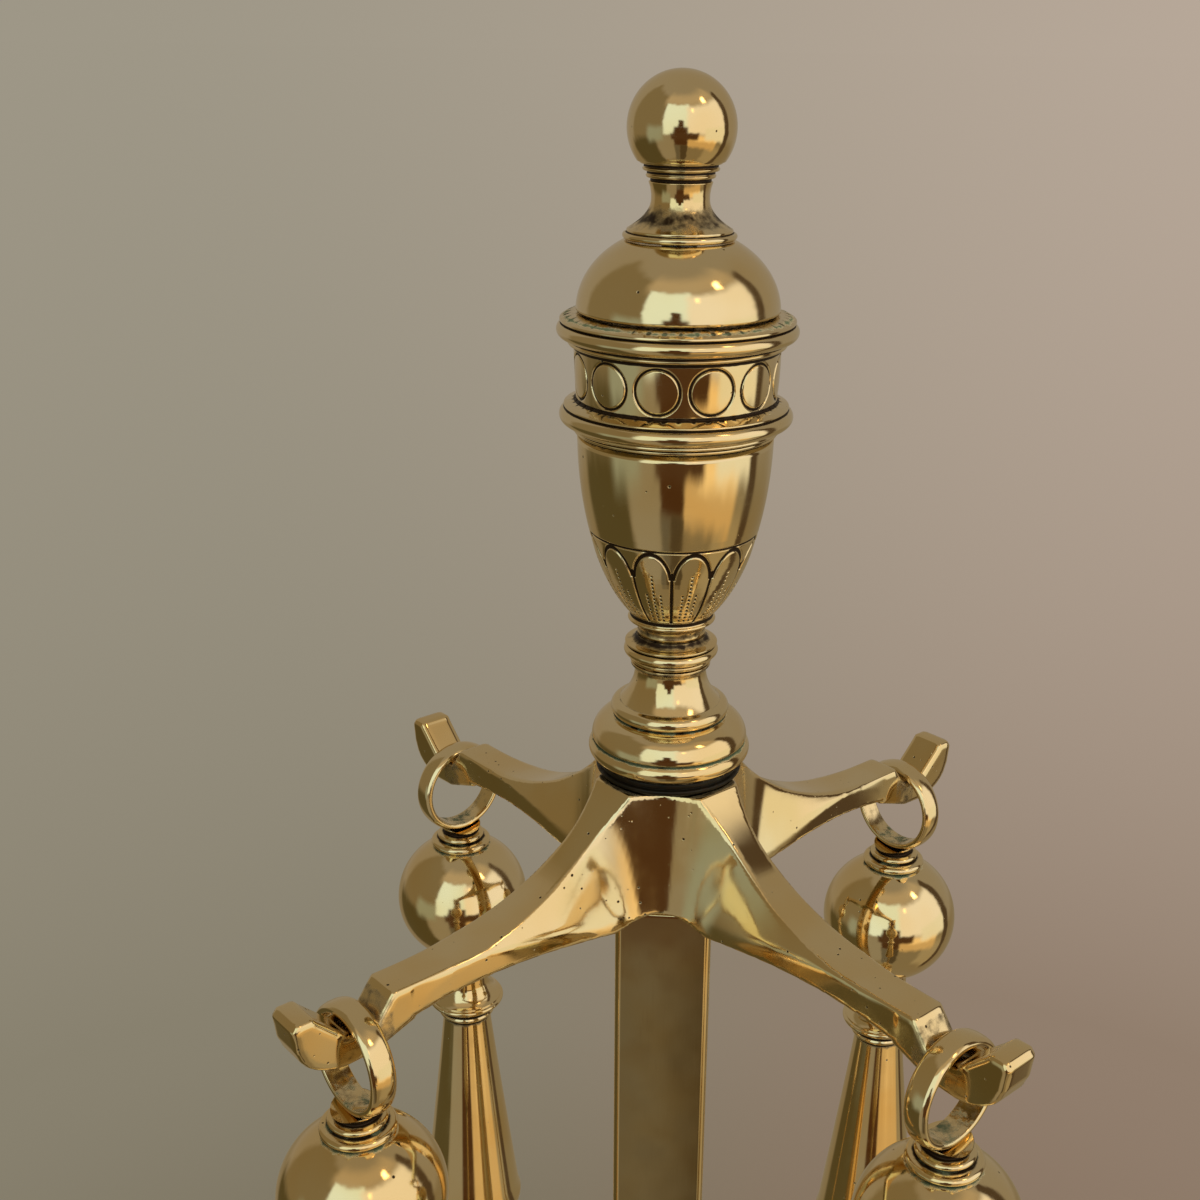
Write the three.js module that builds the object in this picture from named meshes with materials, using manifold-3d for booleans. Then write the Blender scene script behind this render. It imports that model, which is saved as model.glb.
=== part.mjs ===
// Fireplace tool set: a cast and turned brass stand with four hook arms, which carry a poker, a shovel,
// a hearth brush and a pair of tongs. Millimetres, +Z up; the origin is on the floor under the column's axis.
// The square column's faces look along X and Y, and the arms lie over the base's corners, on the diagonals.
import * as THREE from "three";
import { mergeVertices } from "three/addons/utils/BufferGeometryUtils.js";
import Module from "manifold-3d";

const wasm = await Module();
wasm.setup();

// ---------- driving dimensions ----------
const GAP = 0.3; // clearance between touching pieces
const ROUND = 24; // sides of the stand's turned pieces
const TOOL_ROUND = 16; // sides of the tools' turned pieces

// Base
const FOOT_R = 14;
const FOOT_H = 16;
const FOOT_STUD_R = 3;
const FOOT_STUD_L = 7;
const FOOT_INSET = 24; // from the base's edge to the foot's axis
const BASE_W = 226;
const PLATE_H = 14;
const PLATE_T = 6; // metal above the hollow underside
const PLATE_EDGE = 9; // metal round the hollow underside
const STEP_W = 156;
const STEP_H = 12;
const STEP_HOLE_W = 84;
const RISE_W = 118;
const RISE_LEDGE = 6.5; // ledge round the column on top of the rise
const RISE_H = 42;
const RISE_T = 5; // wall of the hollow rise
const COLLAR_RIM = 7.5; // how far the collar stands out from the column
const COLLAR_H = 9;

// Column and tie rod
const COLUMN_W = 25;
const COLUMN_WALL = 2.5;
const COLUMN_L = 431.4;
const ROD_R = 4;
const ROD_CLEAR = 0.3;
const ROD_TAIL = 13; // how far the rod stands out below the plate's hollow underside
const NUT_H = 6.5;
const NUT_FLATS = 13;
const WASHER_R = 11;
const WASHER_T = 2;

// Spider: hub and four arms, each ending in an open hook
const HUB_H = 36.5;
const HUB_TOP_W = 33.2;
const HUB_LIP = 0.7; // how far the hub's foot stands out from the column
const SPIGOT_L = 10;
const ARM_W = 10.5;
const ARM_REACH = 87.5; // from the axis to the corner above the hook
const ARM_DROP = 27.5; // from the hub's top to the arm's end
const ARM_DEPTH = 9.5; // depth of the arm at its end
const ARM_FLARE = 10; // half width of the arm's foot near the hub
const NOTCH_DEPTH = 6; // from the arm's end down to the hook's floor
const TONGUE_H = 8.2; // from the hook's floor up to its tip
const TONGUE_T = 5.5;
const HOOK_T = 8; // metal under the hook's floor

// Finial stack above the hub
const SHIM_R = 18.5;
const SHIM_T = 3.6;
const PEDESTAL_H = 25.4;
const PEDESTAL_R = 20.4;
const KNOP_H = 6.9;
const KNOP_R = 11.7;
const URN_H = 50.5;
const URN_TOP_R = 23.2;
const URN_FOOT_R = 10.5;
const FRIEZE_H = 27.7;
const FRIEZE_R = 24;
const RIM_R = 28.1;
const LID_H = 15.8;
const FINIAL_STEM_H = 16;
const FINIAL_BALL_R = 12.2;

// Tools: what all four share
const LOOP_R = 14; // outside radius of the hanging loop
const LOOP_T = 2.2;
const LOOP_W = 6.5;
const NECK_H = 5.8; // the loop's collar, above the ball
const NECK_R = 9.2;
const BALL_R = 20.5;
const BALL_FLAT = 18.4; // height of the ball's flats over and under its centre
const STUD_R = 3;
const STUD_IN_HANDLE = 12;
const HANDLE_L = 107;
const HANDLE_R = 16.6;
const HANDLE_WAIST_R = 7.6;
const FERRULE_L = 14;
const FERRULE_R = 8;
const SHAFT_R = 4;
const SHAFT_IN_HANDLE = 22;
const SHAFT_CLEAR = 0.3;
const TOOL_END_Z = 60; // height of the tools' lower ends above the floor

// Poker
const POINT_L = 104;
const POINT_R = 6;
const BARB_R = 2.6;
const BARB_REACH = 24;
// Shovel
const PAN_W = 96;
const PAN_SHOULDER_W = 72;
const PAN_L = 128;
const PAN_DEPTH = 22;
const PAN_T = 1.8;
const SOCKET_L = 26;
const SOCKET_R = 7;
// Brush
const CAP_R = 25;
const CAP_H = 28;
const CAP_WALL = 1.6;
const CAP_SKIRT = 13;
const BLOCK_H = 14;
const BRISTLE_TOP_R = 22.5;
const BRISTLE_END_R = 29;
const BRISTLE_L = 106;
// Tongs
const YOKE_L = 30;
const YOKE_W = 16;
const CHEEK_T = 3;
const LEG_T = 4.4;
const LEG_W = 9;
const LEG_L = 178; // from the pivot to the grip's centre
const LEG_BOW = 24;
const GRIP_R = 9;
const GRIP_T = 4;
const GRIP_OPEN = 22; // distance between the grips at rest
const PIN_R = 2.5;
const PIN_HEAD_R = 4.5;
const PIN_HEAD_T = 2;

// ---------- worked-out levels ----------
const plateZ = FOOT_H;
const stepZ = plateZ + PLATE_H + GAP;
const underPlate = plateZ + PLATE_H - PLATE_T;
const riseZ = stepZ + STEP_H + GAP;
const columnZ = riseZ + RISE_H + GAP;
const hubZ = columnZ + COLUMN_L + GAP;
const hubTop = hubZ + HUB_H;
const shimZ = hubTop + GAP;
const pedestalZ = shimZ + SHIM_T + GAP;
const knopZ = pedestalZ + PEDESTAL_H + GAP;
const urnZ = knopZ + KNOP_H + GAP;
const friezeZ = urnZ + URN_H + GAP;
const lidZ = friezeZ + FRIEZE_H + GAP;
const finialZ = lidZ + LID_H + GAP;

const armEndZ = hubTop - ARM_DROP;
const floorZ = armEndZ - NOTCH_DEPTH;
const notchStart = ARM_REACH + 0.75 * NOTCH_DEPTH;
const notchWidth = LOOP_W + 2 * GAP + 0.4;
const toolR = notchStart + notchWidth / 2; // the tools' axes lie on this circle
const loopInner = LOOP_R - LOOP_T;
const loopZ = floorZ + GAP - Math.sqrt(loopInner ** 2 - (ARM_W / 2) ** 2);
const neckTop = loopZ - LOOP_R - GAP;
const ballZ = neckTop - NECK_H - GAP - BALL_FLAT;
const handleTop = ballZ - BALL_FLAT - GAP;
const handleEnd = handleTop - HANDLE_L;
const ferruleTop = handleEnd - GAP;
const ferruleEnd = ferruleTop - FERRULE_L;
const shaftTop = handleEnd + SHAFT_IN_HANDLE;

const brass = { color: 0xb08d3e, roughness: 0.18, metalness: 1 };
const agedBrass = { color: 0x4a3c22, roughness: 0.5, metalness: 1 };
const steel = { color: 0x8c8f92, roughness: 0.4, metalness: 1 };
const beech = { color: 0x6e4a2c, roughness: 0.6, metalness: 0 };
const bristle = { color: 0x2a211a, roughness: 0.9, metalness: 0 };

const set = new THREE.Group();

// ---------- making solids ----------
function piece(parent, name, geometry, finish) {
  const mesh = new THREE.Mesh(geometry, new THREE.MeshStandardMaterial(finish));
  mesh.name = name;
  parent.add(mesh);
  return mesh;
}

function solid(geometry) {
  const bare = (geometry.index ? geometry.toNonIndexed() : geometry).clone();
  bare.deleteAttribute("normal");
  bare.deleteAttribute("uv");
  const merged = mergeVertices(bare, 1e-3);
  return new wasm.Manifold(
    new wasm.Mesh({
      numProp: 3,
      vertProperties: new Float32Array(merged.attributes.position.array),
      triVerts: new Uint32Array(merged.index.array),
    }),
  );
}

function geometryOf(body) {
  const mesh = body.getMesh();
  const geometry = new THREE.BufferGeometry();
  geometry.setAttribute("position", new THREE.BufferAttribute(mesh.vertProperties, 3));
  geometry.setIndex(new THREE.BufferAttribute(mesh.triVerts, 1));
  geometry.computeVertexNormals();
  return geometry;
}

const join = (...shapes) => shapes.map((s) => (s.getMesh ? s : solid(s))).reduce((a, b) => a.add(b));
const cut = (shape, ...tools) =>
  tools.reduce((a, b) => a.subtract(b.getMesh ? b : solid(b)), shape.getMesh ? shape : solid(shape));

// A profile of [radius, z] points from bottom to top, turned about the Z axis. With a bore, it is a ring.
function turned(profile, sides = ROUND, bore = 0) {
  const points = profile.map(([r, z]) => new THREE.Vector2(r, z));
  const first = profile[0][1];
  const last = profile.at(-1)[1];
  const closed = bore
    ? [new THREE.Vector2(bore, first), ...points, new THREE.Vector2(bore, last), new THREE.Vector2(bore, first)]
    : [new THREE.Vector2(0, first), ...points, new THREE.Vector2(0, last)];
  return new THREE.LatheGeometry(closed, sides).rotateX(Math.PI / 2);
}

// The same with four sides: [half width, z] points give a square moulding with mitred corners.
function squared(profile) {
  const corners = profile.map(([half, z]) => [half * Math.SQRT2, z]);
  return turned(corners, 4).rotateZ(Math.PI / 4);
}

function rod(radius, from, to, sides = TOOL_ROUND) {
  return turned([[radius, from], [radius, to]], sides);
}

function box(wide, deep, from, to) {
  return new THREE.BoxGeometry(wide, deep, to - from).translate(0, 0, (from + to) / 2);
}

// Points along an arc of a profile, from one angle to another in degrees, ends included.
function arc(centreR, centreZ, radiusR, radiusZ, from, to, steps) {
  return Array.from({ length: steps + 1 }, (_, i) => {
    const a = THREE.MathUtils.degToRad(from + ((to - from) * i) / steps);
    return [centreR + radiusR * Math.cos(a), centreZ + radiusZ * Math.sin(a)];
  });
}

// A flat outline of [x, z] points, given a thickness along Y about the plane y = 0.
function plate(outline, thickness, holes = []) {
  const shape = new THREE.Shape(outline.map(([x, z]) => new THREE.Vector2(x, z)));
  holes.forEach(([x, z, r]) => shape.holes.push(new THREE.Path().absarc(x, z, r, 0, 2 * Math.PI, true)));
  const options = { depth: thickness, bevelEnabled: false, curveSegments: 8 };
  return new THREE.ExtrudeGeometry(shape, options).rotateX(Math.PI / 2).translate(0, thickness / 2, 0);
}

const mix = THREE.MathUtils.lerp;

// ---------- base ----------
function foot(name, x, y) {
  const profile = [
    [FOOT_R * 0.55, 0],
    ...arc(FOOT_R * 0.55, FOOT_H * 0.42, FOOT_R * 0.45, FOOT_H * 0.42, -90, 90, 3).slice(1),
    [FOOT_R * 0.6, FOOT_H - GAP],
    [FOOT_STUD_R, FOOT_H - GAP],
    [FOOT_STUD_R, FOOT_H + FOOT_STUD_L],
  ];
  piece(set, name, turned(profile, 16).translate(x, y, 0), brass);
}

const footAt = BASE_W / 2 - FOOT_INSET;
const corners = [
  ["front_left", -1, -1],
  ["front_right", 1, -1],
  ["rear_left", -1, 1],
  ["rear_right", 1, 1],
];
for (const [where, sx, sy] of corners) foot("foot_" + where, sx * footAt, sy * footAt);

function basePlate() {
  const half = BASE_W / 2;
  const top = plateZ + PLATE_H;
  const body = squared([
    [half - 2, plateZ],
    [half, plateZ + 2],
    [half, plateZ + PLATE_H * 0.45],
    [half - 3, plateZ + PLATE_H * 0.55],
    [half - 4.5, top - 2],
    [half - 8, top],
  ]);
  const long = BASE_W - 2 * PLATE_EDGE;
  const short = 2 * (footAt - FOOT_R - 2);
  const hollow = [box(long, short, plateZ - 1, underPlate), box(short, long, plateZ - 1, underPlate)];
  const stud = FOOT_STUD_R + GAP;
  const holes = corners.map(([, sx, sy]) =>
    rod(stud, plateZ - 1, FOOT_H + FOOT_STUD_L + GAP, 16).translate(sx * footAt, sy * footAt, 0),
  );
  return geometryOf(cut(body, boreTool(plateZ - 1, top + 1), ...hollow, ...holes));
}

// The rod's clearance hole between two heights.
function boreTool(from, to) {
  return rod(ROD_R + ROD_CLEAR, from, to, 16);
}

function baseStep() {
  const half = STEP_W / 2;
  const top = stepZ + STEP_H;
  const profile = [[half, stepZ], [half, top - 5], [half - 3, top - 4], ...arc(half - 3, top, 4, 4, 270, 180, 3)];
  return geometryOf(cut(squared(profile), box(STEP_HOLE_W, STEP_HOLE_W, stepZ - 1, top + 1)));
}

function baseRise() {
  const wide = RISE_W / 2;
  const narrow = COLUMN_W / 2 + RISE_LEDGE;
  const edge = 3;
  const steps = 7;
  const sweep = Array.from({ length: steps + 1 }, (_, i) => {
    const t = i / steps;
    return [narrow + (wide - narrow - edge) * (1 - t) ** 2.6, riseZ + edge + (RISE_H - edge) * t];
  });
  const inside = sweep.slice(0, -2).map(([half, z]) => [half - RISE_T, z - edge - 1]);
  const body = squared([[wide, riseZ], [wide, riseZ + edge], ...sweep]);
  return geometryOf(cut(body, squared(inside), boreTool(riseZ - 1, riseZ + RISE_H + 1)));
}

function columnCollar() {
  const half = COLUMN_W / 2 + COLLAR_RIM;
  const inner = COLUMN_W + 2 * GAP;
  const top = columnZ + COLLAR_H;
  const body = squared([
    [half - 1, columnZ],
    ...arc(half - 2, columnZ + 2.5, 2, 2.5, -60, 90, 3),
    [half - 3.5, columnZ + 5.4],
    [inner / 2 + 1.6, top],
  ]);
  return geometryOf(cut(body, box(inner, inner, columnZ - 1, top + 1)));
}

function column() {
  const outer = box(COLUMN_W, COLUMN_W, columnZ, columnZ + COLUMN_L);
  const bore = COLUMN_W - 2 * COLUMN_WALL;
  return geometryOf(cut(outer, box(bore, bore, columnZ - 1, columnZ + COLUMN_L + 1)));
}

piece(set, "base_plate", basePlate(), brass);
piece(set, "base_step", baseStep(), brass);
piece(set, "base_rise", baseRise(), brass);
piece(set, "column_collar", columnCollar(), brass);
piece(set, "column", column(), brass);

// ---------- tie rod ----------
const rodTop = finialZ + 4;
piece(set, "tie_rod", rod(ROD_R, underPlate - ROD_TAIL, rodTop, 16), steel);

const washerTop = underPlate - GAP;
const washerProfile = [[WASHER_R, washerTop - WASHER_T], [WASHER_R, washerTop]];
piece(set, "tie_rod_washer", turned(washerProfile, 16, ROD_R + ROD_CLEAR), steel);

const nutTop = washerTop - WASHER_T - GAP;
const nutR = NUT_FLATS / Math.sqrt(3);
piece(set, "tie_rod_nut", geometryOf(cut(rod(nutR, nutTop - NUT_H, nutTop, 6), boreTool(0, nutTop + 1))), steel);

// ---------- spider ----------
// An arm's top line falls steeply at the hub and flattens towards the hook.
const armStart = HUB_TOP_W / Math.SQRT2 - ARM_W / 2;
const armTopZ = (t) => armEndZ + ARM_DROP * (1 - t) ** 2.9;
const armUnderZ = (t) => hubZ + (armEndZ - ARM_DEPTH - hubZ) * t + 3.5 * Math.sin(Math.PI * t);
const armStrip = (t) => mix(0.9, ARM_DEPTH, t ** 0.9);
const armHalf = (t) => mix(ARM_FLARE, ARM_W / 2, THREE.MathUtils.smoothstep(t, 0.15, 0.92));

// One arm along +X, as rings of six points from the hub out to the hook.
function armBody() {
  const stations = 10;
  const ring = (x, t) => {
    const top = armTopZ(t);
    const under = armUnderZ(t);
    const mid = Math.min(under + armStrip(t), top - 0.2);
    const w = ARM_W / 2;
    const half = Math.max(armHalf(t), w + 0.05);
    return [[x, -w, top], [x, -half, mid], [x, -half, under], [x, half, under], [x, half, mid], [x, w, top]];
  };
  const rings = [ring(0, 0)];
  for (let i = 0; i <= stations; i++) {
    const t = i / stations;
    rings.push(ring(mix(armStart, ARM_REACH, t), t));
  }
  const sides = 6;
  const index = [];
  for (let k = 0; k < rings.length - 1; k++)
    for (let j = 0; j < sides; j++) {
      const a = k * sides + j;
      const b = k * sides + ((j + 1) % sides);
      index.push(a, b, b + sides, a, b + sides, a + sides);
    }
  const last = (rings.length - 1) * sides;
  for (let j = 1; j < sides - 1; j++) {
    index.push(0, j + 1, j);
    index.push(last, last + j, last + j + 1);
  }
  const geometry = new THREE.BufferGeometry();
  geometry.setAttribute("position", new THREE.Float32BufferAttribute(rings.flat(2), 3));
  geometry.setIndex(index);
  return geometry;
}

// The hook's side outline in [x, z], as wide as the arm: drop face, floor, rising tongue, round underside.
function hookOutline() {
  const notchEnd = notchStart + notchWidth;
  const tipZ = floorZ + TONGUE_H;
  const under = floorZ - HOOK_T;
  const tipX = notchEnd + TONGUE_H - 1.2;
  return [
    [ARM_REACH - 2, armEndZ],
    [ARM_REACH, armEndZ],
    [notchStart, floorZ],
    [notchEnd, floorZ],
    [tipX, tipZ - 1.4],
    [tipX + 1, tipZ],
    [tipX + TONGUE_T, tipZ],
    [tipX + TONGUE_T + 0.8, tipZ - 1.2],
    [tipX + TONGUE_T + 0.4, floorZ + 1],
    [tipX + TONGUE_T - 3.5, under + 4.4],
    [tipX + TONGUE_T - 8, under + 1.2],
    [notchEnd - 2, under],
    [notchStart + 1, under + 0.6],
    [ARM_REACH - 2, armEndZ - ARM_DEPTH],
  ];
}

function spider() {
  const flat = HUB_TOP_W / 2;
  const foot = COLUMN_W / 2 + HUB_LIP;
  const hub = squared([[foot, hubZ], [foot, hubZ + 2], [mix(foot, flat, 0.25), mix(hubZ, hubTop, 0.5)],
    [flat, hubTop - 3], [flat, hubTop]]);
  const spigotW = COLUMN_W - 2 * COLUMN_WALL - 2 * GAP;
  const spigot = box(spigotW, spigotW, hubZ - SPIGOT_L, hubZ + 1);
  const arm = join(armBody(), plate(hookOutline().reverse(), ARM_W));
  const arms = [45, 135, 225, 315].map((degrees) => arm.rotate([0, 0, degrees]));
  const corner = armStart + ARM_W / 2;
  const trims = [45, 135, 225, 315].map((degrees) =>
    new THREE.BoxGeometry(20, 60, 30)
      .translate(corner + 10 - ARM_W / 4, 0, hubTop + 15)
      .rotateZ(THREE.MathUtils.degToRad(degrees)),
  );
  const body = cut(join(hub, spigot, ...arms), ...trims);
  return geometryOf(cut(body, boreTool(hubZ - SPIGOT_L - 1, hubTop + 5)));
}
piece(set, "hook_spider", spider(), brass);

// ---------- finial stack ----------
const bored = ROD_R + ROD_CLEAR;

function stacked(name, base, profile, finish = brass) {
  piece(set, name, turned(profile.map(([r, z]) => [r, z + base]), ROUND, bored), finish);
}

stacked("hub_shim", shimZ, [[SHIM_R - 1, 0], [SHIM_R, SHIM_T * 0.4], [SHIM_R, SHIM_T * 0.8], [SHIM_R - 1, SHIM_T]],
  agedBrass);

stacked("pedestal", pedestalZ, [
  [PEDESTAL_R - 1.2, 0],
  [PEDESTAL_R, 1.3],
  [PEDESTAL_R, 3],
  [PEDESTAL_R - 1.7, 4.6],
  ...arc(PEDESTAL_R - 6.4, 5.2, 5.7, 6, 0, 78, 4),
  [PEDESTAL_R - 5.6, 12.4],
  ...arc(PEDESTAL_R, PEDESTAL_H, PEDESTAL_R - 9, PEDESTAL_H - 13, 238, 180, 4),
]);

stacked("neck_knop", knopZ, [
  [KNOP_R - 1.7, 0],
  [KNOP_R - 1.7, 1],
  [KNOP_R - 0.3, 2],
  [KNOP_R, 3.2],
  [KNOP_R - 0.8, 4.6],
  [KNOP_R - 0.3, 5.2],
  [KNOP_R - 2.4, KNOP_H],
]);

const bowl = arc(0, URN_H, URN_TOP_R, URN_H - 5.4, 0, -63, 7).reverse();
stacked("urn_body", urnZ, [
  [URN_FOOT_R - 1.6, 0],
  [URN_FOOT_R - 2.1, 1.4],
  [URN_FOOT_R, 4],
  ...bowl,
]);

stacked("urn_frieze", friezeZ, [
  [FRIEZE_R - 0.2, 0],
  [FRIEZE_R + 0.4, 1.4],
  ...arc(RIM_R - 3.4, 3.6, 2.8, 2.3, -70, 70, 3),
  [RIM_R - 1.6, 6.9],
  [FRIEZE_R - 0.3, 8.2],
  [FRIEZE_R + 0.2, 20.3],
  [FRIEZE_R + 1.5, 21.4],
  ...arc(RIM_R - 2.8, 23.6, 2.8, 2.2, -60, 70, 3),
  [RIM_R - 1, 26.8],
  [FRIEZE_R + 0.3, FRIEZE_H],
]);

stacked("urn_lid", lidZ, [...arc(0, 0, FRIEZE_R - 0.5, LID_H + 3, 0, 57, 6), [FINIAL_BALL_R, LID_H]]);

function finial() {
  const grooveR = FINIAL_BALL_R - 2.9;
  const ballAt = FINIAL_STEM_H + Math.sqrt(FINIAL_BALL_R ** 2 - grooveR ** 2);
  const start = -THREE.MathUtils.radToDeg(Math.acos(grooveR / FINIAL_BALL_R));
  const profile = [
    [FINIAL_BALL_R + 0.6, 0],
    [FINIAL_BALL_R + 0.8, 0.9],
    [FINIAL_BALL_R - 0.2, 2.2],
    ...arc(FINIAL_BALL_R + 1.4, 9, 7, 6.4, 245, 150, 4),
    [grooveR - 0.9, FINIAL_STEM_H - 1.6],
    [grooveR, FINIAL_STEM_H],
    ...arc(0, ballAt, FINIAL_BALL_R, FINIAL_BALL_R, start, 84, 9).slice(1),
    [0.01, ballAt + FINIAL_BALL_R],
  ];
  const body = turned(profile.map(([r, z]) => [r, z + finialZ]));
  return geometryOf(cut(body, boreTool(finialZ - 1, rodTop + GAP)));
}
piece(set, "finial", finial(), brass);

// ---------- what the tools share ----------
// Each tool is built on the Z axis with its loop's axis along X, then moved out along its arm.
function toolGroup(degrees) {
  const a = THREE.MathUtils.degToRad(degrees);
  const group = new THREE.Group();
  group.position.set(toolR * Math.cos(a), toolR * Math.sin(a), 0);
  group.rotation.z = a;
  set.add(group);
  return group;
}

function loop() {
  const half = LOOP_W / 2;
  const inner = LOOP_R - LOOP_T;
  const crown = [[LOOP_R - 0.5, -half], [LOOP_R, -half / 2], [LOOP_R, half / 2], [LOOP_R - 0.5, half]];
  return turned(crown, 32, inner).rotateY(Math.PI / 2).translate(0, 0, loopZ);
}

function loopNeck() {
  const base = neckTop - NECK_H;
  const body = turned([
    [NECK_R - 0.7, base],
    [NECK_R, base + 1.2],
    [NECK_R - 2.3, base + 2.6],
    [NECK_R - 2, base + 3.6],
    [NECK_R - 5, base + 4.9],
    [NECK_R - 5, neckTop],
  ], TOOL_ROUND);
  return geometryOf(join(body, rod(STUD_R, handleTop - STUD_IN_HANDLE, base + 1, 12)));
}

function ballKnob() {
  const edge = THREE.MathUtils.radToDeg(Math.asin(BALL_FLAT / BALL_R));
  return turned(arc(0, ballZ, BALL_R, BALL_R, -edge, edge, 9), TOOL_ROUND, STUD_R + GAP);
}

function handle() {
  const flangeZ = handleTop - 19;
  const waistZ = handleTop - 26;
  const swellZ = handleEnd + 8;
  const body = turned([
    [FERRULE_R + 1, handleEnd],
    [HANDLE_R - 1.6, handleEnd + 2.4],
    ...arc(HANDLE_R - 4, swellZ, 4, 5, -50, 20, 3),
    [mix(HANDLE_WAIST_R, HANDLE_R, 0.5), mix(waistZ, swellZ, 0.52)],
    [HANDLE_WAIST_R, waistZ],
    [HANDLE_WAIST_R + 1.4, flangeZ - 3.4],
    [HANDLE_WAIST_R + 4.4, flangeZ - 1.6],
    [HANDLE_WAIST_R + 4.4, flangeZ],
    [HANDLE_WAIST_R - 0.6, flangeZ + 7],
    [HANDLE_WAIST_R - 0.2, handleTop],
  ], TOOL_ROUND);
  const studBore = rod(STUD_R + GAP, handleTop - STUD_IN_HANDLE - GAP, handleTop + 1, 12);
  const shaftBore = rod(SHAFT_R + SHAFT_CLEAR, handleEnd - 1, shaftTop + GAP, 12);
  return geometryOf(cut(body, studBore, shaftBore));
}

function ferrule() {
  const bore = SHAFT_R + SHAFT_CLEAR;
  return turned([
    [bore + 1.2, ferruleEnd],
    [bore + 1.4, ferruleEnd + 3],
    [FERRULE_R - 1.6, ferruleEnd + 8],
    [FERRULE_R, ferruleTop - 3.4],
    [FERRULE_R, ferruleTop - 1.4],
    [FERRULE_R - 1, ferruleTop],
  ], 16, bore);
}

function hangingTool(name, degrees, shaftEnd) {
  const group = toolGroup(degrees);
  piece(group, name + "_loop", loop(), brass);
  piece(group, name + "_neck", loopNeck(), brass);
  piece(group, name + "_ball", ballKnob(), brass);
  piece(group, name + "_handle", handle(), brass);
  piece(group, name + "_ferrule", ferrule(), brass);
  piece(group, name + "_shaft", rod(SHAFT_R, shaftEnd, shaftTop, 12), brass);
  return group;
}

const shaftSocket = SHAFT_R + SHAFT_CLEAR;

// ---------- poker, front left ----------
function pokerPoint(top) {
  const body = turned([
    [0.8, TOOL_END_Z],
    [POINT_R * 0.55, TOOL_END_Z + 12],
    [POINT_R * 0.72, top - 20],
    [POINT_R, top - 16],
    [POINT_R, top - 2],
    [POINT_R - 1, top],
  ], 12);
  const barbZ = TOOL_END_Z + 34;
  const path = new THREE.CatmullRomCurve3([
    new THREE.Vector3(0, 0, barbZ + 8),
    new THREE.Vector3(0, 5, barbZ - 1),
    new THREE.Vector3(0, BARB_REACH * 0.6, barbZ - 4),
    new THREE.Vector3(0, BARB_REACH, barbZ + 6),
  ]);
  const section = new THREE.Shape().absarc(0, 0, BARB_R, 0, 2 * Math.PI, false);
  const barb = new THREE.ExtrudeGeometry(section, { extrudePath: path, steps: 10, curveSegments: 4 });
  return geometryOf(cut(join(body, barb), rod(shaftSocket, top - 14, top + 1, 12)));
}
const pointTop = TOOL_END_Z + POINT_L;
const poker = hangingTool("poker", 225, pointTop - 14 + GAP);
piece(poker, "poker_point", pokerPoint(pointTop), brass);

// ---------- shovel, front right ----------
const panTop = TOOL_END_Z + PAN_L;
const panBack = -8; // the pan's back plate lies on the column's side of the shaft

// The pan is an open tray: a back plate with walls round three sides, open forwards and at the mouth.
function shovelPan() {
  const outline = (inset, below) => {
    const w = PAN_W / 2 - inset;
    const s = PAN_SHOULDER_W / 2 - inset;
    const top = panTop - inset;
    return [[-w, TOOL_END_Z - below], [w, TOOL_END_Z - below], [w, TOOL_END_Z + 26], [s, top - 10],
      [s - 10, top], [-s + 10, top], [-s, top - 10], [-w, TOOL_END_Z + 26]];
  };
  const shell = plate(outline(0, 0), PAN_DEPTH);
  const hollow = plate(outline(PAN_T, 5), PAN_DEPTH).translate(0, -PAN_T, 0);
  const tray = cut(shell, hollow);
  const turnedTray = geometryOf(tray).rotateZ(Math.PI / 2).translate(panBack + PAN_DEPTH / 2, 0, 0);
  return turnedTray;
}
const shovel = hangingTool("shovel", 315, panTop + GAP + 6);
piece(shovel, "shovel_pan", shovelPan(), brass);

function shovelSocket() {
  const foot = panTop + GAP;
  return geometryOf(cut(turned([
    [SOCKET_R + 0.8, foot],
    [SOCKET_R + 0.8, foot + 3],
    [SOCKET_R - 0.8, foot + 6],
    [SOCKET_R - 1.6, foot + SOCKET_L - 5],
    [SOCKET_R, foot + SOCKET_L - 3],
    [SOCKET_R - 1, foot + SOCKET_L],
  ], 16), rod(shaftSocket, foot + 6 - GAP, foot + SOCKET_L + 1, 12)));
}
piece(shovel, "shovel_socket", shovelSocket(), brass);

// ---------- hearth brush, rear right ----------
const bristleTop = TOOL_END_Z + BRISTLE_L;
const capEnd = bristleTop - 8;
const capTop = capEnd + CAP_H;
const blockEnd = bristleTop + GAP;
const brush = hangingTool("brush", 45, capTop - 10 + GAP);

function brushCap() {
  const body = turned([
    [CAP_R, capEnd],
    [CAP_R, capEnd + CAP_SKIRT],
    ...arc(SHAFT_R + 2, capEnd + CAP_SKIRT, CAP_R - SHAFT_R - 2, CAP_H - CAP_SKIRT - 4, 12, 80, 4),
    [SHAFT_R + 3, capTop - 3],
    [SHAFT_R + 2.4, capTop],
  ]);
  const inside = rod(CAP_R - CAP_WALL, capEnd - 1, capEnd + CAP_SKIRT + 1, ROUND);
  return geometryOf(cut(body, inside, rod(shaftSocket, capTop - 10, capTop + 1, 12)));
}
piece(brush, "brush_cap", brushCap(), brass);

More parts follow.
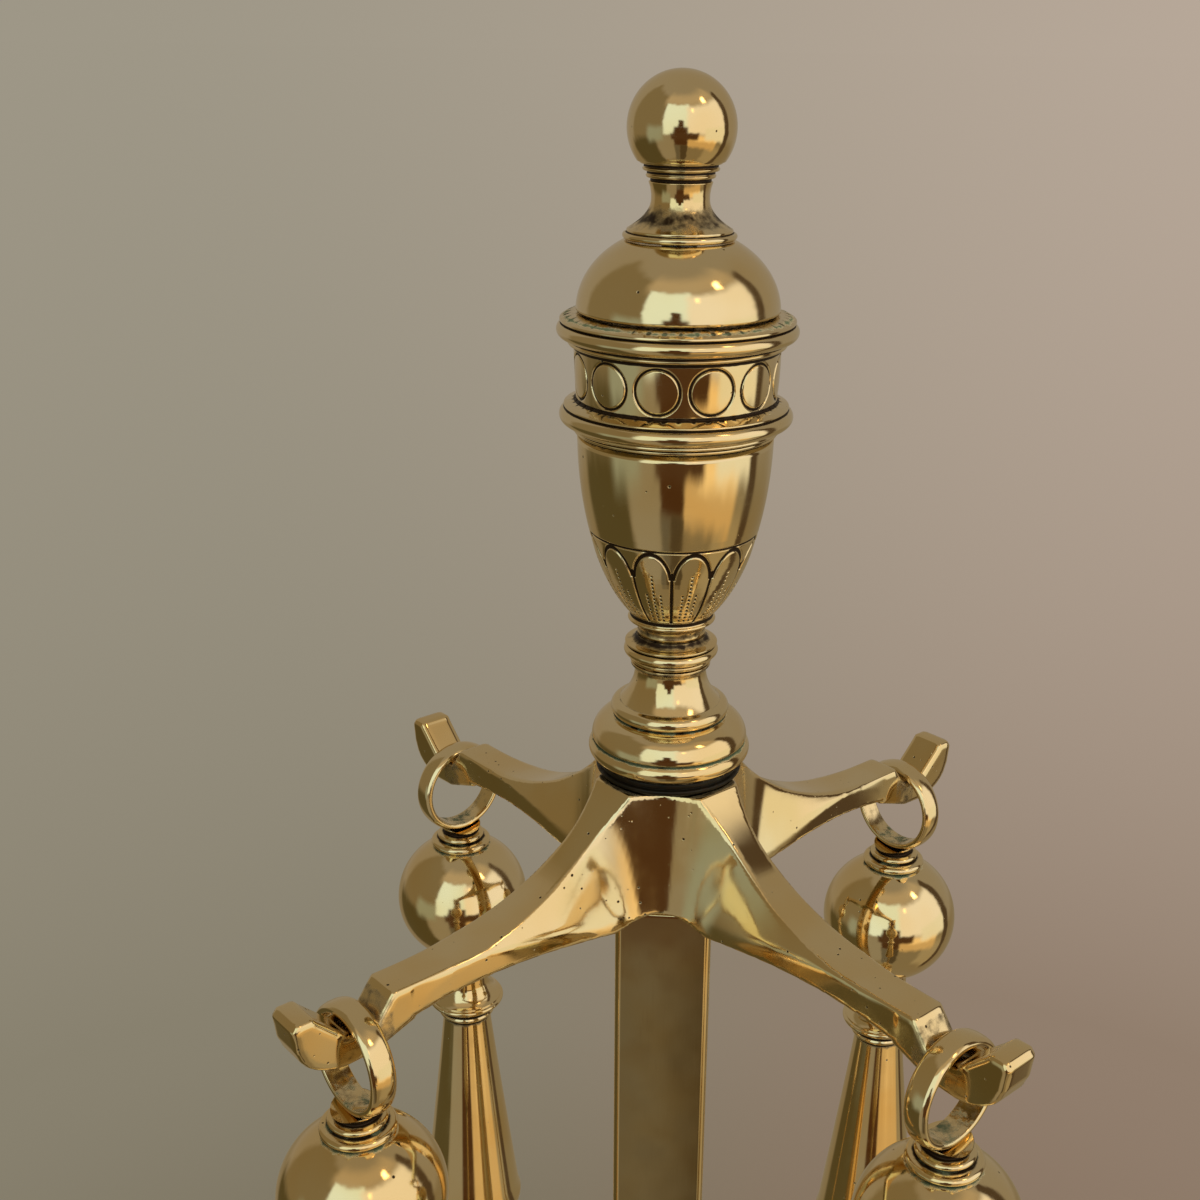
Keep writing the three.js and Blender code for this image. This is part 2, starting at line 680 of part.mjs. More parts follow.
const blockTop = Math.min(blockEnd + BLOCK_H, capEnd + CAP_SKIRT + 1 - GAP);
piece(brush, "brush_block", rod(CAP_R - CAP_WALL - GAP, blockEnd, blockTop, ROUND), beech);
const tuft = [
  [BRISTLE_END_R - 3, TOOL_END_Z],
  [BRISTLE_END_R, TOOL_END_Z + 4],
  [mix(BRISTLE_TOP_R, BRISTLE_END_R, 0.6), mix(TOOL_END_Z, bristleTop, 0.4)],
  [BRISTLE_TOP_R, capEnd],
  [BRISTLE_TOP_R, bristleTop],
];
piece(brush, "brush_bristles", turned(tuft), bristle);

// ---------- tongs, rear left ----------
const gripZ = TOOL_END_Z + GRIP_R;
const pivotZ = gripZ + LEG_L;
const yokeTop = pivotZ + YOKE_L - 8;
const tongs = hangingTool("tongs", 135, yokeTop - 14 + GAP);
const legAt = LEG_T / 2 + GAP / 2; // each leg's eye lies this far from the middle of the fork

function tongsYoke() {
  const slot = 2 * LEG_T + 3 * GAP;
  const deep = slot + 2 * CHEEK_T;
  const body = join(
    box(deep, YOKE_W, pivotZ - 8, pivotZ + 12),
    turned([[SHAFT_R + 3, pivotZ + 11], [SHAFT_R + 3, yokeTop - 3], [SHAFT_R + 2, yokeTop]], 16),
  );
  const gap = box(slot, YOKE_W + 2, pivotZ - 9, pivotZ + 7);
  const hole = rod(PIN_R + GAP, -deep, deep, 12).rotateY(Math.PI / 2).translate(0, 0, pivotZ);
  const sideCuts = [-1, 1].map((side) =>
    new THREE.BoxGeometry(deep + 2, 8, 12).rotateX(side * 0.8).translate(0, side * (YOKE_W / 2 + 1), pivotZ + 15));
  return geometryOf(cut(body, gap, hole, rod(shaftSocket, yokeTop - 14, yokeTop + 1, 12), ...sideCuts));
}
piece(tongs, "tongs_yoke", tongsYoke(), brass);

function pivotPin() {
  const half = LEG_T + 1.5 * GAP + CHEEK_T + GAP;
  return turned([
    [PIN_HEAD_R - 1, -half - PIN_HEAD_T],
    [PIN_HEAD_R, -half - 0.6],
    [PIN_HEAD_R, -half],
    [PIN_R, -half],
    [PIN_R, half],
    [PIN_HEAD_R, half],
    [PIN_HEAD_R, half + 0.6],
    [PIN_HEAD_R - 1, half + PIN_HEAD_T],
  ], 12).rotateY(Math.PI / 2).translate(0, 0, pivotZ);
}
piece(tongs, "tongs_pin", pivotPin(), steel);

// A leg hangs from its eye, bows outwards and comes back in to its round grip. Side is 1 or -1 along Y.
function tongsLeg(side) {
  const tip = GRIP_OPEN / 2 + GRIP_T / 2;
  const line = new THREE.CatmullRomCurve3([
    new THREE.Vector3(0, pivotZ, 0),
    new THREE.Vector3(LEG_BOW * 0.55, pivotZ - LEG_L * 0.16, 0),
    new THREE.Vector3(LEG_BOW, pivotZ - LEG_L * 0.45, 0),
    new THREE.Vector3(mix(tip, LEG_BOW, 0.75), pivotZ - LEG_L * 0.72, 0),
    new THREE.Vector3(tip, gripZ, 0),
  ]);
  const steps = 12;
  const left = [];
  const right = [];
  for (let i = 0; i <= steps; i++) {
    const t = i / steps;
    const p = line.getPoint(t);
    const d = line.getTangent(t);
    const w = mix(LEG_W, LEG_W * 0.55, t) / 2;
    left.push([p.x - d.y * w, p.y + d.x * w]);
    right.push([p.x + d.y * w, p.y - d.x * w]);
  }
  const strip = plate([...left, ...right.reverse()], LEG_T);
  const eye = rod(LEG_W * 0.72, -LEG_T / 2, LEG_T / 2, 16).rotateX(Math.PI / 2).translate(0, 0, pivotZ);
  const pinHole = rod(PIN_R + GAP, -LEG_T, LEG_T, 12).rotateX(Math.PI / 2).translate(0, 0, pivotZ);
  const flat = cut(join(strip, eye), pinHole);
  const turnedLeg = geometryOf(flat).rotateZ(Math.PI / 2).translate(side * legAt, 0, 0);
  const grip = rod(GRIP_R, -GRIP_T / 2, GRIP_T / 2, 16).rotateX(Math.PI / 2).translate(0, tip, gripZ);
  const body = join(turnedLeg, grip);
  return geometryOf(side > 0 ? body : body.mirror([0, 1, 0]));
}
piece(tongs, "tongs_leg_left", tongsLeg(1), brass);
piece(tongs, "tongs_leg_right", tongsLeg(-1), brass);

export default set;
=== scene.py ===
"""The looks of a brass fireplace tool set, built round its fixed frame.

Every piece stands where its frame node stands. Sizes inside this file are millimetres, and
place() turns them into metres."""

import math
from functools import partial

import bpy
import numpy as np
from bpy.props import FloatProperty, FloatVectorProperty, IntProperty, PointerProperty
from mathutils import Matrix, Vector


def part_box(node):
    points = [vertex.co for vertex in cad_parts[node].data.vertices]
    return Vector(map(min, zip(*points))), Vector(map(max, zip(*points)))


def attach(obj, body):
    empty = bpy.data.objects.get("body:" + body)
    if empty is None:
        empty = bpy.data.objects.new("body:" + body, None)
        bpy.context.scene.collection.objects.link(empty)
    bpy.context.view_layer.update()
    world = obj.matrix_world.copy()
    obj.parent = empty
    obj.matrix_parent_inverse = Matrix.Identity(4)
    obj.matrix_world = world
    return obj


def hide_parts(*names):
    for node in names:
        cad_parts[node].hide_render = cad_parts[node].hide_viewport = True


bl_info = {
    "name": "Fireplace Tool Set",
    "version": (1, 0, 0),
    "blender": (4, 5, 0),
    "location": "View3D > Sidebar > Tool Set",
    "description": "Builds a polished brass hearth stand with its poker, shovel, brush and tongs",
    "category": "Add Mesh",
}

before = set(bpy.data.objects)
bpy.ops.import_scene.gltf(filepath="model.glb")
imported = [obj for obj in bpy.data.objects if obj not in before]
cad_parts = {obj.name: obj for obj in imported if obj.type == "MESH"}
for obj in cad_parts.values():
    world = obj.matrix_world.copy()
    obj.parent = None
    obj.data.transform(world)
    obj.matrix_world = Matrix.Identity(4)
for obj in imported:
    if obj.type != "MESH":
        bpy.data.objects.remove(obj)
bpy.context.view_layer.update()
MM = 0.001
SLOTS = {
    **dict.fromkeys(("cast", "turned", "drawn"), "polished_brass"),
    "aged": "aged_brass", "steel": "plain_steel", "beech": "beech", "bristle": "bristle",
}
TOOLS = {"poker": 225, "shovel": 315, "brush": 45, "tongs": 135}  # plan angle of each tool's arm
BORE = 4.3  # the clearance hole for the tie rod, and the socket for a shaft's end
SOCKET = 14  # how deep a shaft goes into a forged or cast head
STUD = 3.3  # the hole for a threaded stud, under the base and through the handles


# ---------- settings ----------
def linear(code):
    """A colour written as sRGB hex, as linear values."""
    values = [int(code[i : i + 2], 16) / 255 for i in (1, 3, 5)]
    return [v / 12.92 if v <= 0.04045 else ((v + 0.055) / 1.055) ** 2.4 for v in values]


def colour(name, description, code):
    return FloatVectorProperty(
        name=name, description=description, subtype="COLOR", size=3, min=0, max=1, default=linear(code)
    )


def length(name, description, mm):
    return FloatProperty(
        name=name, description=description, default=mm * MM, min=0, precision=5, unit="LENGTH"
    )


class FinishSettings(bpy.types.PropertyGroup):
    """Colours of the metals, the wood and the bristles."""

    brass: colour("Brass", "Polished yellow brass", "#e8d4a6")
    warm_brass: colour("Warm brass", "The redder tone that polish leaves in patches", "#e6cb93")
    # The patina colour also paints shade into the hollows and cuts of the brass.
    patina_and_shade: colour("Patina", "Old polish and tarnish in the grooves", "#2a1b0a")
    verdigris: colour("Verdigris", "Green copper salts in the joints", "#525c42")
    aged: colour("Aged washer", "The blackened ring on top of the hub", "#1d1a12")
    steel: colour("Steel", "Plain mild steel", "#9a9c9e")
    beech: colour("Beech", "Beech under oil", "#8a5c36")
    bristle: colour("Bristle", "Dark hog bristle", "#2b2018")
    worn_bristle: colour("Worn bristle", "Bristle tips rubbed pale", "#7a6246")
    gloss: FloatProperty(
        name="Polish", description="Roughness of the polished brass", default=0.09, min=0, max=1
    )


class StandSettings(bpy.types.PropertyGroup):
    """Edges and engraving of the stand."""

    soft_edge: length("Soft edge", "How far polishing has rounded the castings' edges", 0.7)
    circles: IntProperty(name="Circles", description="Engraved circles round the frieze", default=12, min=1)
    circle_r: length("Circle radius", "Radius of each engraved circle", 5.15)
    line: length("Engraved line", "Half width of an engraved line", 0.32)
    depth: length("Engraving depth", "Depth of the engraved lines", 0.42)
    petals: IntProperty(name="Petals", description="Petals round the urn", default=12, min=1)
    punch: length("Punch mark", "Radius of a punched dot in a petal", 0.38)


class ToolSettings(bpy.types.PropertyGroup):
    """Details of the hanging tools."""

    thread: length("Thread pitch", "Pitch of the tie rod's thread", 1.25)
    strands: IntProperty(name="Bristles", description="Bristles drawn in the brush", default=1700, min=1)
    strand_r: length(
        "Bristle radius", "Radius of a drawn bristle, thicker than a real one so that it shows", 0.34
    )


class StageSettings(bpy.types.PropertyGroup):
    """Floor, backdrop, light and camera."""

    # The backdrop and floor colours hold painted light: lighter to the right and far away, darker near the
    # stand.
    left_far: colour("Backdrop left", "Backdrop on the left, far away", "#9e9787")
    right_far: colour("Backdrop right", "Backdrop on the right, far away", "#b9a99a")
    left_near: colour("Floor left", "Floor on the left, near the stand", "#88816f")
    right_near: colour("Floor right", "Floor on the right, near the stand", "#917e6d")
    lens: FloatProperty(
        name="Lens", description="Focal length on a 36 mm sensor", default=45.8, unit="CAMERA"
    )
    room: FloatProperty(
        name="Room light", description="Strength of the room round the stand", default=1.0, min=0
    )


# ---------- profiles and meshes ----------
def box_of(node):
    """A node's plan centre, lowest and highest level and half width, in millimetres."""
    low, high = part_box(node)
    centre = ((low.x + high.x) / 2 / MM, (low.y + high.y) / 2 / MM)
    return centre, low.z / MM, high.z / MM, (high.x - low.x) / 2 / MM


def arc(centre_r, centre_z, radius_r, radius_z, start, end, steps=12):
    """Points along an arc of a profile between two angles in degrees."""
    angles = np.radians(np.linspace(start, end, steps + 1))
    return [(centre_r + radius_r * math.cos(a), centre_z + radius_z * math.sin(a)) for a in angles]


def eased(points, radius=0.3, steps=4, closed=False):
    """The same outline with each sharp corner rounded."""
    points = [np.array(p, float) for p in points]
    count = len(points)
    made = []
    for i, here in enumerate(points):
        if not closed and i in (0, count - 1):
            made.append(here)
            continue
        before, after = points[i - 1] - here, points[(i + 1) % count] - here
        a, b = np.linalg.norm(before), np.linalg.norm(after)
        if min(a, b) < 1e-6:
            continue
        if np.dot(before, after) / (a * b) < -0.94:
            made.append(here)
            continue
        reach = min(radius, 0.45 * a, 0.45 * b)
        p, q = here + before / a * reach, here + after / b * reach
        for t in np.linspace(0, 1, steps + 1):
            made.append((1 - t) ** 2 * p + 2 * t * (1 - t) * here + t * t * q)
    return [tuple(p) for p in made]


def finer(points, step, low=-1e9, high=1e9):
    """The outline with points no further apart than step between two levels."""
    made = [points[0]]
    for a, b in zip(points, points[1:]):
        parts = 1
        if max(a[1], b[1]) > low and min(a[1], b[1]) < high:
            parts = max(1, math.ceil(math.dist(a, b) / step))
        made += [
            (a[0] + (b[0] - a[0]) * k / parts, a[1] + (b[1] - a[1]) * k / parts) for k in range(1, parts + 1)
        ]
    return made


def smooth_step(low, high, x):
    t = np.clip((x - low) / (high - low), 0, 1)
    return t * t * (3 - 2 * t)


def hollows(rows, reach=1.1):
    """How far each point of a profile lies in a hollow, from 0 to 1: patina gathers there, and the same value
    paints shade into the hollow.
    """
    rows = np.asarray(rows, float)
    run = np.concatenate([[0], np.cumsum(np.linalg.norm(np.diff(rows, axis=0), axis=1))])

    def at(s):
        return np.stack([np.interp(s, run, rows[:, 0]), np.interp(s, run, rows[:, 1])], 1)

    before, after = at(run - reach), at(run + reach)
    along = after - before
    outward = np.stack([along[:, 1], -along[:, 0]], 1)
    outward /= np.maximum(np.linalg.norm(outward, axis=1), 1e-9)[:, None]
    depth = (((before + after) / 2 - rows) * outward).sum(1) / reach
    return smooth_step(0.1, 0.42, depth)


def place(node, points, quads, tris, body, finish, marks=None):
    """Makes a node's mesh piece, puts it on its body and lets it stand for the node."""
    points = np.asarray(points, float)
    quads = np.asarray(quads, np.int32).reshape(-1, 4)
    tris = np.asarray(tris, np.int32).reshape(-1, 3)
    mesh = bpy.data.meshes.new(node)
    mesh.vertices.add(len(points))
    mesh.vertices.foreach_set("co", (points * MM).ravel())
    mesh.loops.add(quads.size + tris.size)
    mesh.loops.foreach_set("vertex_index", np.concatenate([quads.ravel(), tris.ravel()]))
    mesh.polygons.add(len(quads) + len(tris))
    starts = [np.arange(len(quads)) * 4, quads.size + np.arange(len(tris)) * 3]
    mesh.polygons.foreach_set("loop_start", np.concatenate(starts).astype(np.int32))
    mesh.update(calc_edges=True)
    mesh.polygons.foreach_set("use_smooth", np.ones(len(mesh.polygons), bool))
    mesh.normals_split_custom_set_from_vertices(area_normals(points, quads, tris))
    for key, values in (marks or {}).items():
        attribute = mesh.attributes.new(key, "FLOAT", "POINT")
        attribute.data.foreach_set("value", np.asarray(values, np.float32).ravel())
    piece = bpy.data.objects.new(node, mesh)
    bpy.context.scene.collection.objects.link(piece)
    mesh.materials.append(bpy.data.materials[bpy.context.scene["set_" + finish]])
    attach(piece, body)
    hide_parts(node)


def area_normals(points, quads, tris):
    """Corner normals that follow the larger faces, so flats stay flat up to their soft edges."""
    normals = np.zeros_like(points)
    for faces, ends in ((quads, (2, 3)), (tris, (1, 2))):
        if len(faces):
            first, second = (points[faces[:, k]] for k in ends)
            start = points[faces[:, 0]]
            other = points[faces[:, 1]] if faces.shape[1] == 4 else start
            face_normal = np.cross(first - start, second - other)
            for k in range(faces.shape[1]):
                np.add.at(normals, faces[:, k], face_normal)
    return normals / np.maximum(np.linalg.norm(normals, axis=1), 1e-12)[:, None]


def bands(z, rings):
    """Soft bands of (level, half width, strength), added up."""
    return sum((strength * np.exp(-(((z - level) / wide) ** 2)) for level, wide, strength in rings), 0 * z)


def lathe(profile, centre=(0, 0), sides=96, bore=0.0, carve=None, green=(), stain=()):
    """Turns a profile of (radius, level) points, listed upwards, round a vertical axis.

    carve(angle, level, radius) gives how deep the surface is cut there, and how dark it is. green and
    stain list (level, half width, strength) of the bands where verdigris and brown crust sit. Gives
    points, quads, triangles and marks."""
    rows = [tuple(p) for p in profile]
    rows = [(bore, rows[0][1]), *rows, (bore, rows[-1][1])] if bore else rows
    if not bore:
        rows = ([(0.0, rows[0][1])] if rows[0][0] > 1e-6 else []) + rows
        rows += [(0.0, rows[-1][1])] if rows[-1][0] > 1e-6 else []
    shape = np.array(rows)
    angles = np.arange(sides) * 2 * math.pi / sides
    r, z = np.repeat(shape[:, :1], sides, 1), np.repeat(shape[:, 1:], sides, 1)
    a = np.repeat(angles[None, :], len(shape), 0)
    # Patina and painted shade darken the profile's hollows.
    patina_and_shade = np.repeat(hollows(shape)[:, None], sides, 1)
    # Carved lines are darkened too: old polish and painted shade in the cut.
    if carve:
        cut, dark = carve(a, z, r)
        r = r - cut
        patina_and_shade = np.maximum(patina_and_shade, dark)
    verdigris = bands(z, green)
    patina_and_shade = np.maximum(patina_and_shade, bands(z, stain))
    points = np.stack([centre[0] + r * np.cos(a), centre[1] + r * np.sin(a), z], 2)
    first, last = (0, len(shape)) if bore else (1, len(shape) - 1)
    index = np.arange((last - first) * sides).reshape(-1, sides)
    low, high = (index, np.roll(index, -1, 0)) if bore else (index[:-1], index[1:])
    quads = np.stack([low, np.roll(low, -1, 1), np.roll(high, -1, 1), high], 2).reshape(-1, 4)
    marks = {"patina_and_shade": patina_and_shade[first:last].ravel(), "verdigris": verdigris[first:last].ravel()}
    flat = points[first:last].reshape(-1, 3)
    tris = np.zeros((0, 3), int)
    if not bore:
        foot, top = len(flat), len(flat) + 1
        flat = np.vstack([flat, [[*centre, shape[0, 1]], [*centre, shape[-1, 1]]]])
        marks = {key: np.append(values, [0, 0]) for key, values in marks.items()}
        ring, crown = index[0], index[-1]
        tris = np.vstack([
            np.stack([np.full(sides, foot), np.roll(ring, -1), ring], 1),
            np.stack([np.full(sides, top), crown, np.roll(crown, -1)], 1),
        ])
    return flat, quads, tris, marks


def turned_piece(node, body, finish, profile, **options):
    """A lathe piece on a node's own axis, with its profile's levels measured from the node's foot."""
    centre, foot, _, _ = box_of(node)
    lifted = [(r, z + foot) for r, z in profile]
    for key in ("green", "stain"):
        options[key] = [(level + foot, *rest) for level, *rest in options.get(key, ())]
    points, quads, tris, marks = lathe(lifted, centre=centre, **options)
    place(node, points, quads, tris, body, finish, marks)


def cast_piece(node, body, field, low, high, pitch, degrees=0, centre=(0, 0), finish="cast"):
    """A piece cast from its field in a frame of its own, then turned and moved in plan."""
    points, quads = cast(field, low, high, pitch)
    place(node, spun(points, degrees, centre), quads, [], body, finish)


# ---------- cast shapes, as distance fields ----------
def smooth_min(a, b, k):
    h = np.clip(0.5 + 0.5 * (b - a) / k, 0, 1)
    return b + (a - b) * h - k * h * (1 - h)


def smooth_max(a, b, k):
    return -smooth_min(-a, -b, k)


def outline_distance(outline, u, v):
    """Distance from a closed outline, less than 0 inside it."""
    corners = [np.array(p, float) for p in outline]
    nearest = np.full(np.shape(u), 1e9)
    sign = np.ones(np.shape(u))
    for p, q in zip(corners, corners[-1:] + corners[:-1]):
        edge = q - p
        wu, wv = u - p[0], v - p[1]
        t = np.clip((wu * edge[0] + wv * edge[1]) / max(edge @ edge, 1e-12), 0, 1)
        nearest = np.minimum(nearest, (wu - edge[0] * t) ** 2 + (wv - edge[1] * t) ** 2)
        above, below = v >= p[1], v < q[1]
        left = edge[0] * wv > edge[1] * wu
        flips = (above & below & left) | (~above & ~below & ~left)
        sign = np.where(flips, -sign, sign)
    return sign * np.sqrt(nearest)


def path_distance(path, u, v):
    """Distance from an open line of points, and how far along it the nearest point lies, 0 to 1."""
    path = np.array(path, float)
    nearest, share = np.full(np.shape(u), 1e9), np.zeros(np.shape(u))
    for i, (p, q) in enumerate(zip(path, path[1:])):
        edge = q - p
        t = np.clip(((u - p[0]) * edge[0] + (v - p[1]) * edge[1]) / (edge @ edge), 0, 1)
        d = np.hypot(u - p[0] - edge[0] * t, v - p[1] - edge[1] * t)
        closer = d < nearest
        nearest = np.where(closer, d, nearest)
        share = np.where(closer, (i + t) / (len(path) - 1), share)
    return nearest, share


def slab(x, half):
    return np.abs(x) - half


def block(x, y, z, hx, hy, low, high, edge):
    """A box with soft edges, centred in plan."""
    sides = smooth_max(slab(x, hx), slab(y, hy), edge)
    return smooth_max(sides, np.maximum(z - high, low - z), edge)


CORNERS = np.array([(i, j, k) for i in (0, 1) for j in (0, 1) for k in (0, 1)])
EDGES = [(a, b) for a in range(8) for b in range(a + 1, 8) if np.abs(CORNERS[a] - CORNERS[b]).sum() == 1]


def cast(field, low, high, pitch, fourfold=False):
    """Points and quads on the zero surface of a field, one point to each grid cell that it crosses.

    With fourfold, the shape is the same on both sides of the planes x = 0 and y = 0."""
    low, high = np.array(low, float), np.array(high, float)
    axes = []
    for k in range(3):
        if fourfold and k < 2:
            count = math.ceil(high[k] / pitch)
            axes.append(np.arange(0, count + 1) * pitch)
        else:
            axes.append(np.arange(low[k], high[k] + pitch, pitch))
    values = field(*np.meshgrid(*axes, indexing="ij"))
    if fourfold:
        for k in (0, 1):
            rest = np.take(values, range(1, values.shape[k]), axis=k)
            values = np.concatenate([np.flip(rest, axis=k), values], axis=k)
            axes[k] = np.concatenate([-axes[k][:0:-1], axes[k]])
    inside = values < 0
    sums = sum(inside[tuple(slice(c, c - 1 or None) for c in corner)].astype(np.int8) for corner in CORNERS)
    cells = np.argwhere((sums > 0) & (sums < 8))
    number = np.full(sums.shape, -1, np.int64)
    number[tuple(cells.T)] = np.arange(len(cells))
    held = np.stack([values[tuple((cells + corner).T)] for corner in CORNERS], 1)
    total, hits = np.zeros((len(cells), 3)), np.zeros(len(cells))
    for a, b in EDGES:
        va, vb = held[:, a], held[:, b]
        crossed = (va < 0) != (vb < 0)
        t = np.where(crossed, va / np.where(crossed, va - vb, 1), 0)[:, None]
        total += np.where(crossed[:, None], CORNERS[a] + (CORNERS[b] - CORNERS[a]) * t, 0)
        hits += crossed
    start = np.array([axis[0] for axis in axes])
    points = start + (cells + total / hits[:, None]) * pitch
    quads = []
    for k in range(3):
        one = tuple(slice(None, -1) if k == m else slice(None) for m in range(3))
        two = tuple(slice(1, None) if k == m else slice(None) for m in range(3))
        u, v = (k + 1) % 3, (k + 2) % 3
        edges = np.argwhere(inside[one] != inside[two])
        fits = (edges[:, u] > 0) & (edges[:, v] > 0)
        fits &= (edges[:, u] < sums.shape[u]) & (edges[:, v] < sums.shape[v])
        edges = edges[fits]
        step_u, step_v = np.eye(3, dtype=int)[u], np.eye(3, dtype=int)[v]
        around = [edges - step_u - step_v, edges - step_v, edges, edges - step_u]
        quad = np.stack([number[tuple(c.T)] for c in around], 1)
        turn = inside[tuple(edges.T)]
        quads.append(np.where(turn[:, None], quad, quad[:, ::-1]))
    return settle(field, points, pitch), np.vstack(quads)


def settle(field, points, pitch, rounds=4):
    """Moves points onto the exact surface."""
    step = 0.05
    for _ in range(rounds):
        value = field(*points.T)
        slope = np.stack([
            (field(*(points + shift).T) - field(*(points - shift).T)) / (2 * step)
            for shift in np.eye(3) * step
        ], 1)
        move = slope * (value / np.maximum((slope**2).sum(1), 1e-6))[:, None]
        size = np.linalg.norm(move, axis=1)
        points = points - move * np.minimum(1, 0.4 * pitch / np.maximum(size, 1e-9))[:, None]
    return points


def spun(points, degrees, centre=(0, 0)):
    """Points turned about the vertical axis and then moved in plan."""
    a = math.radians(degrees)
    x = points[:, 0] * math.cos(a) - points[:, 1] * math.sin(a) + centre[0]
    y = points[:, 0] * math.sin(a) + points[:, 1] * math.cos(a) + centre[1]
    return np.stack([x, y, points[:, 2]], 1)


# ---------- materials ----------
SMOOTH = "SMOOTHSTEP"


def add(tree, kind, *inputs, out=0, **named):
    """Adds a shader node and gives one of its outputs.

    inputs fill its sockets in order. named ones are settings, or fill sockets by name. Each input is a
    plain value or another node's output."""
    node = tree.nodes.new("ShaderNode" + kind)
    settings = {key: value for key, value in named.items() if key in node.bl_rna.properties}
    for key, value in settings.items():
        setattr(node, key, value)
    filled = list(zip((socket for socket in node.inputs if socket.enabled), inputs))
    filled += [(node.inputs[key], value) for key, value in named.items() if key not in settings]
    for socket, value in filled:
        if isinstance(value, bpy.types.NodeSocket):
            tree.links.new(value, socket)
        else:
            socket.default_value = (*value, 1) if socket.type == "RGBA" and len(value) == 3 else value
    outputs = {socket.name: socket for socket in node.outputs if socket.enabled}
    return outputs[out] if out in outputs else next(iter(outputs.values()), None)


def new_material(name):
    material = bpy.data.materials.new(name)
    material.use_nodes = True
    material.node_tree.nodes.clear()
    return material, partial(add, material.node_tree)


def per(mm):
    """Texture scale of a pattern that repeats after this many millimetres."""
    return 1000 / mm


def brass_material(name, stretch, drag, pits):
    """Yellow brass. drag is how strongly the polishing lines show, pits how many casting pits do."""
    finish = bpy.context.scene.set_finish
    material, put = new_material(name)
    plain = put("TexCoord", out="Object")
    drawn = put("Mapping", plain, Scale=stretch)
    patches = put("TexNoise", plain, Scale=per(22), Detail=2)
    tone = put("MapRange", patches, 0.35, 0.7, interpolation_type=SMOOTH)
    tone = put("Mix", tone, finish.brass, finish.warm_brass, data_type="RGBA")
    # Old polish stays wherever a cloth can't reach, with a ragged edge, and the same mask paints shade into
    # the hollows.
    ragged = put("TexNoise", plain, Scale=per(2.2), Detail=3, Roughness=0.55)
    ragged = put("Math", ragged, 0.6, -0.3, operation="MULTIPLY_ADD")
    worn = put("Math", put("Attribute", out="Fac", attribute_name="patina_and_shade"), ragged, operation="ADD")
    dark = put("MapRange", worn, 0.36, 0.74, interpolation_type=SMOOTH)
    salts = put("TexNoise", plain, Scale=per(3.2), Detail=4, Roughness=0.6)
    grown = put("Math", salts, 1.1, -0.55, operation="MULTIPLY_ADD")
    grown = put("Math", put("Attribute", out="Fac", attribute_name="verdigris"), grown, operation="ADD")
    green = put("MapRange", grown, 0.5, 0.8, interpolation_type=SMOOTH)
    # Sand casting leaves pinholes up to about half a millimetre wide, some millimetres apart.
    holes = put("TexVoronoi", plain, Scale=per(2.6))
    chance = put("SeparateColor", holes.node.outputs["Color"])
    shrunk = put("Math", chance.node.outputs["Green"], 0.12, holes, operation="MULTIPLY_ADD")
    hole = put("MapRange", shrunk, 0.09, 0.17, 1, 0, interpolation_type=SMOOTH)
    pit = put("Math", hole, put("Math", chance, 1 - pits, operation="GREATER_THAN"), operation="MULTIPLY")
    dirt_and_shade = put("Math", dark, pit, operation="MAXIMUM")
    base = put("Mix", dirt_and_shade, tone, finish.patina_and_shade, data_type="RGBA")
    base = put("Mix", green, base, finish.verdigris, data_type="RGBA")
    # Fine polishing lines, drawn wider than the real ones so that they show at all.
    lines = put("TexNoise", drawn, Scale=per(0.5), Detail=2)
    film = put("TexNoise", plain, Scale=per(9), Detail=3)
    rough = put(
        "MapRange", film, 0.35, 0.75, finish.gloss * 0.7, finish.gloss * 1.5, interpolation_type=SMOOTH
    )
    scratch = put("MapRange", lines, 0.55, 0.8, 0, 0.05 * drag, interpolation_type=SMOOTH)
    rough = put("Math", rough, scratch, operation="ADD")
    rough = put("Math", dirt_and_shade, 0.42, rough, operation="MULTIPLY_ADD")
    rough = put("Math", green, 0.55, rough, operation="MULTIPLY_ADD")
    metal = put("Math", dirt_and_shade, -0.3, 1.0, operation="MULTIPLY_ADD")
    metal = put("Math", metal, green, operation="SUBTRACT", use_clamp=True)
    # Hand polishing leaves slow waves that bend the reflections a little.
    waves = put("TexNoise", plain, Scale=per(14), Detail=1)
    height = put("Math", waves, 0.055, 0.0, operation="MULTIPLY_ADD")
    height = put("Math", lines, 0.0006 * drag, height, operation="MULTIPLY_ADD")
    height = put("Math", pit, -0.12, height, operation="MULTIPLY_ADD")
    height = put("Math", green, 0.07, height, operation="MULTIPLY_ADD")
    bump = put("Bump", Height=height, Distance=MM, Strength=1.0)
    metal_shader = put("BsdfPrincipled", base, metal, rough, Normal=bump)
    put("OutputMaterial", metal_shader)
    return material


def make_materials():
    """Every finish on the set, by name."""
    finish = bpy.context.scene.set_finish
    return {
        # Sand-cast brass, filed and buffed: soft edges, a few pinholes, a slightly wavy mirror.
        "cast": brass_material("Buffed cast brass", (1, 1, 1), 0.6, 0.65),
        # Brass turned on a lathe and burnished: a true mirror with hair-fine rings.
        "turned": brass_material("Burnished turned brass", (0.15, 0.15, 1), 1.0, 0.1),
        # Drawn brass bar and tube: faint lines along its length.
        "drawn": brass_material("Polished drawn brass", (1, 1, 0.04), 1.4, 0.01),
        "aged": aged_material(finish),
        "steel": steel_material(finish),
        "beech": beech_material(finish),
        "bristle": bristle_material(finish),
    }


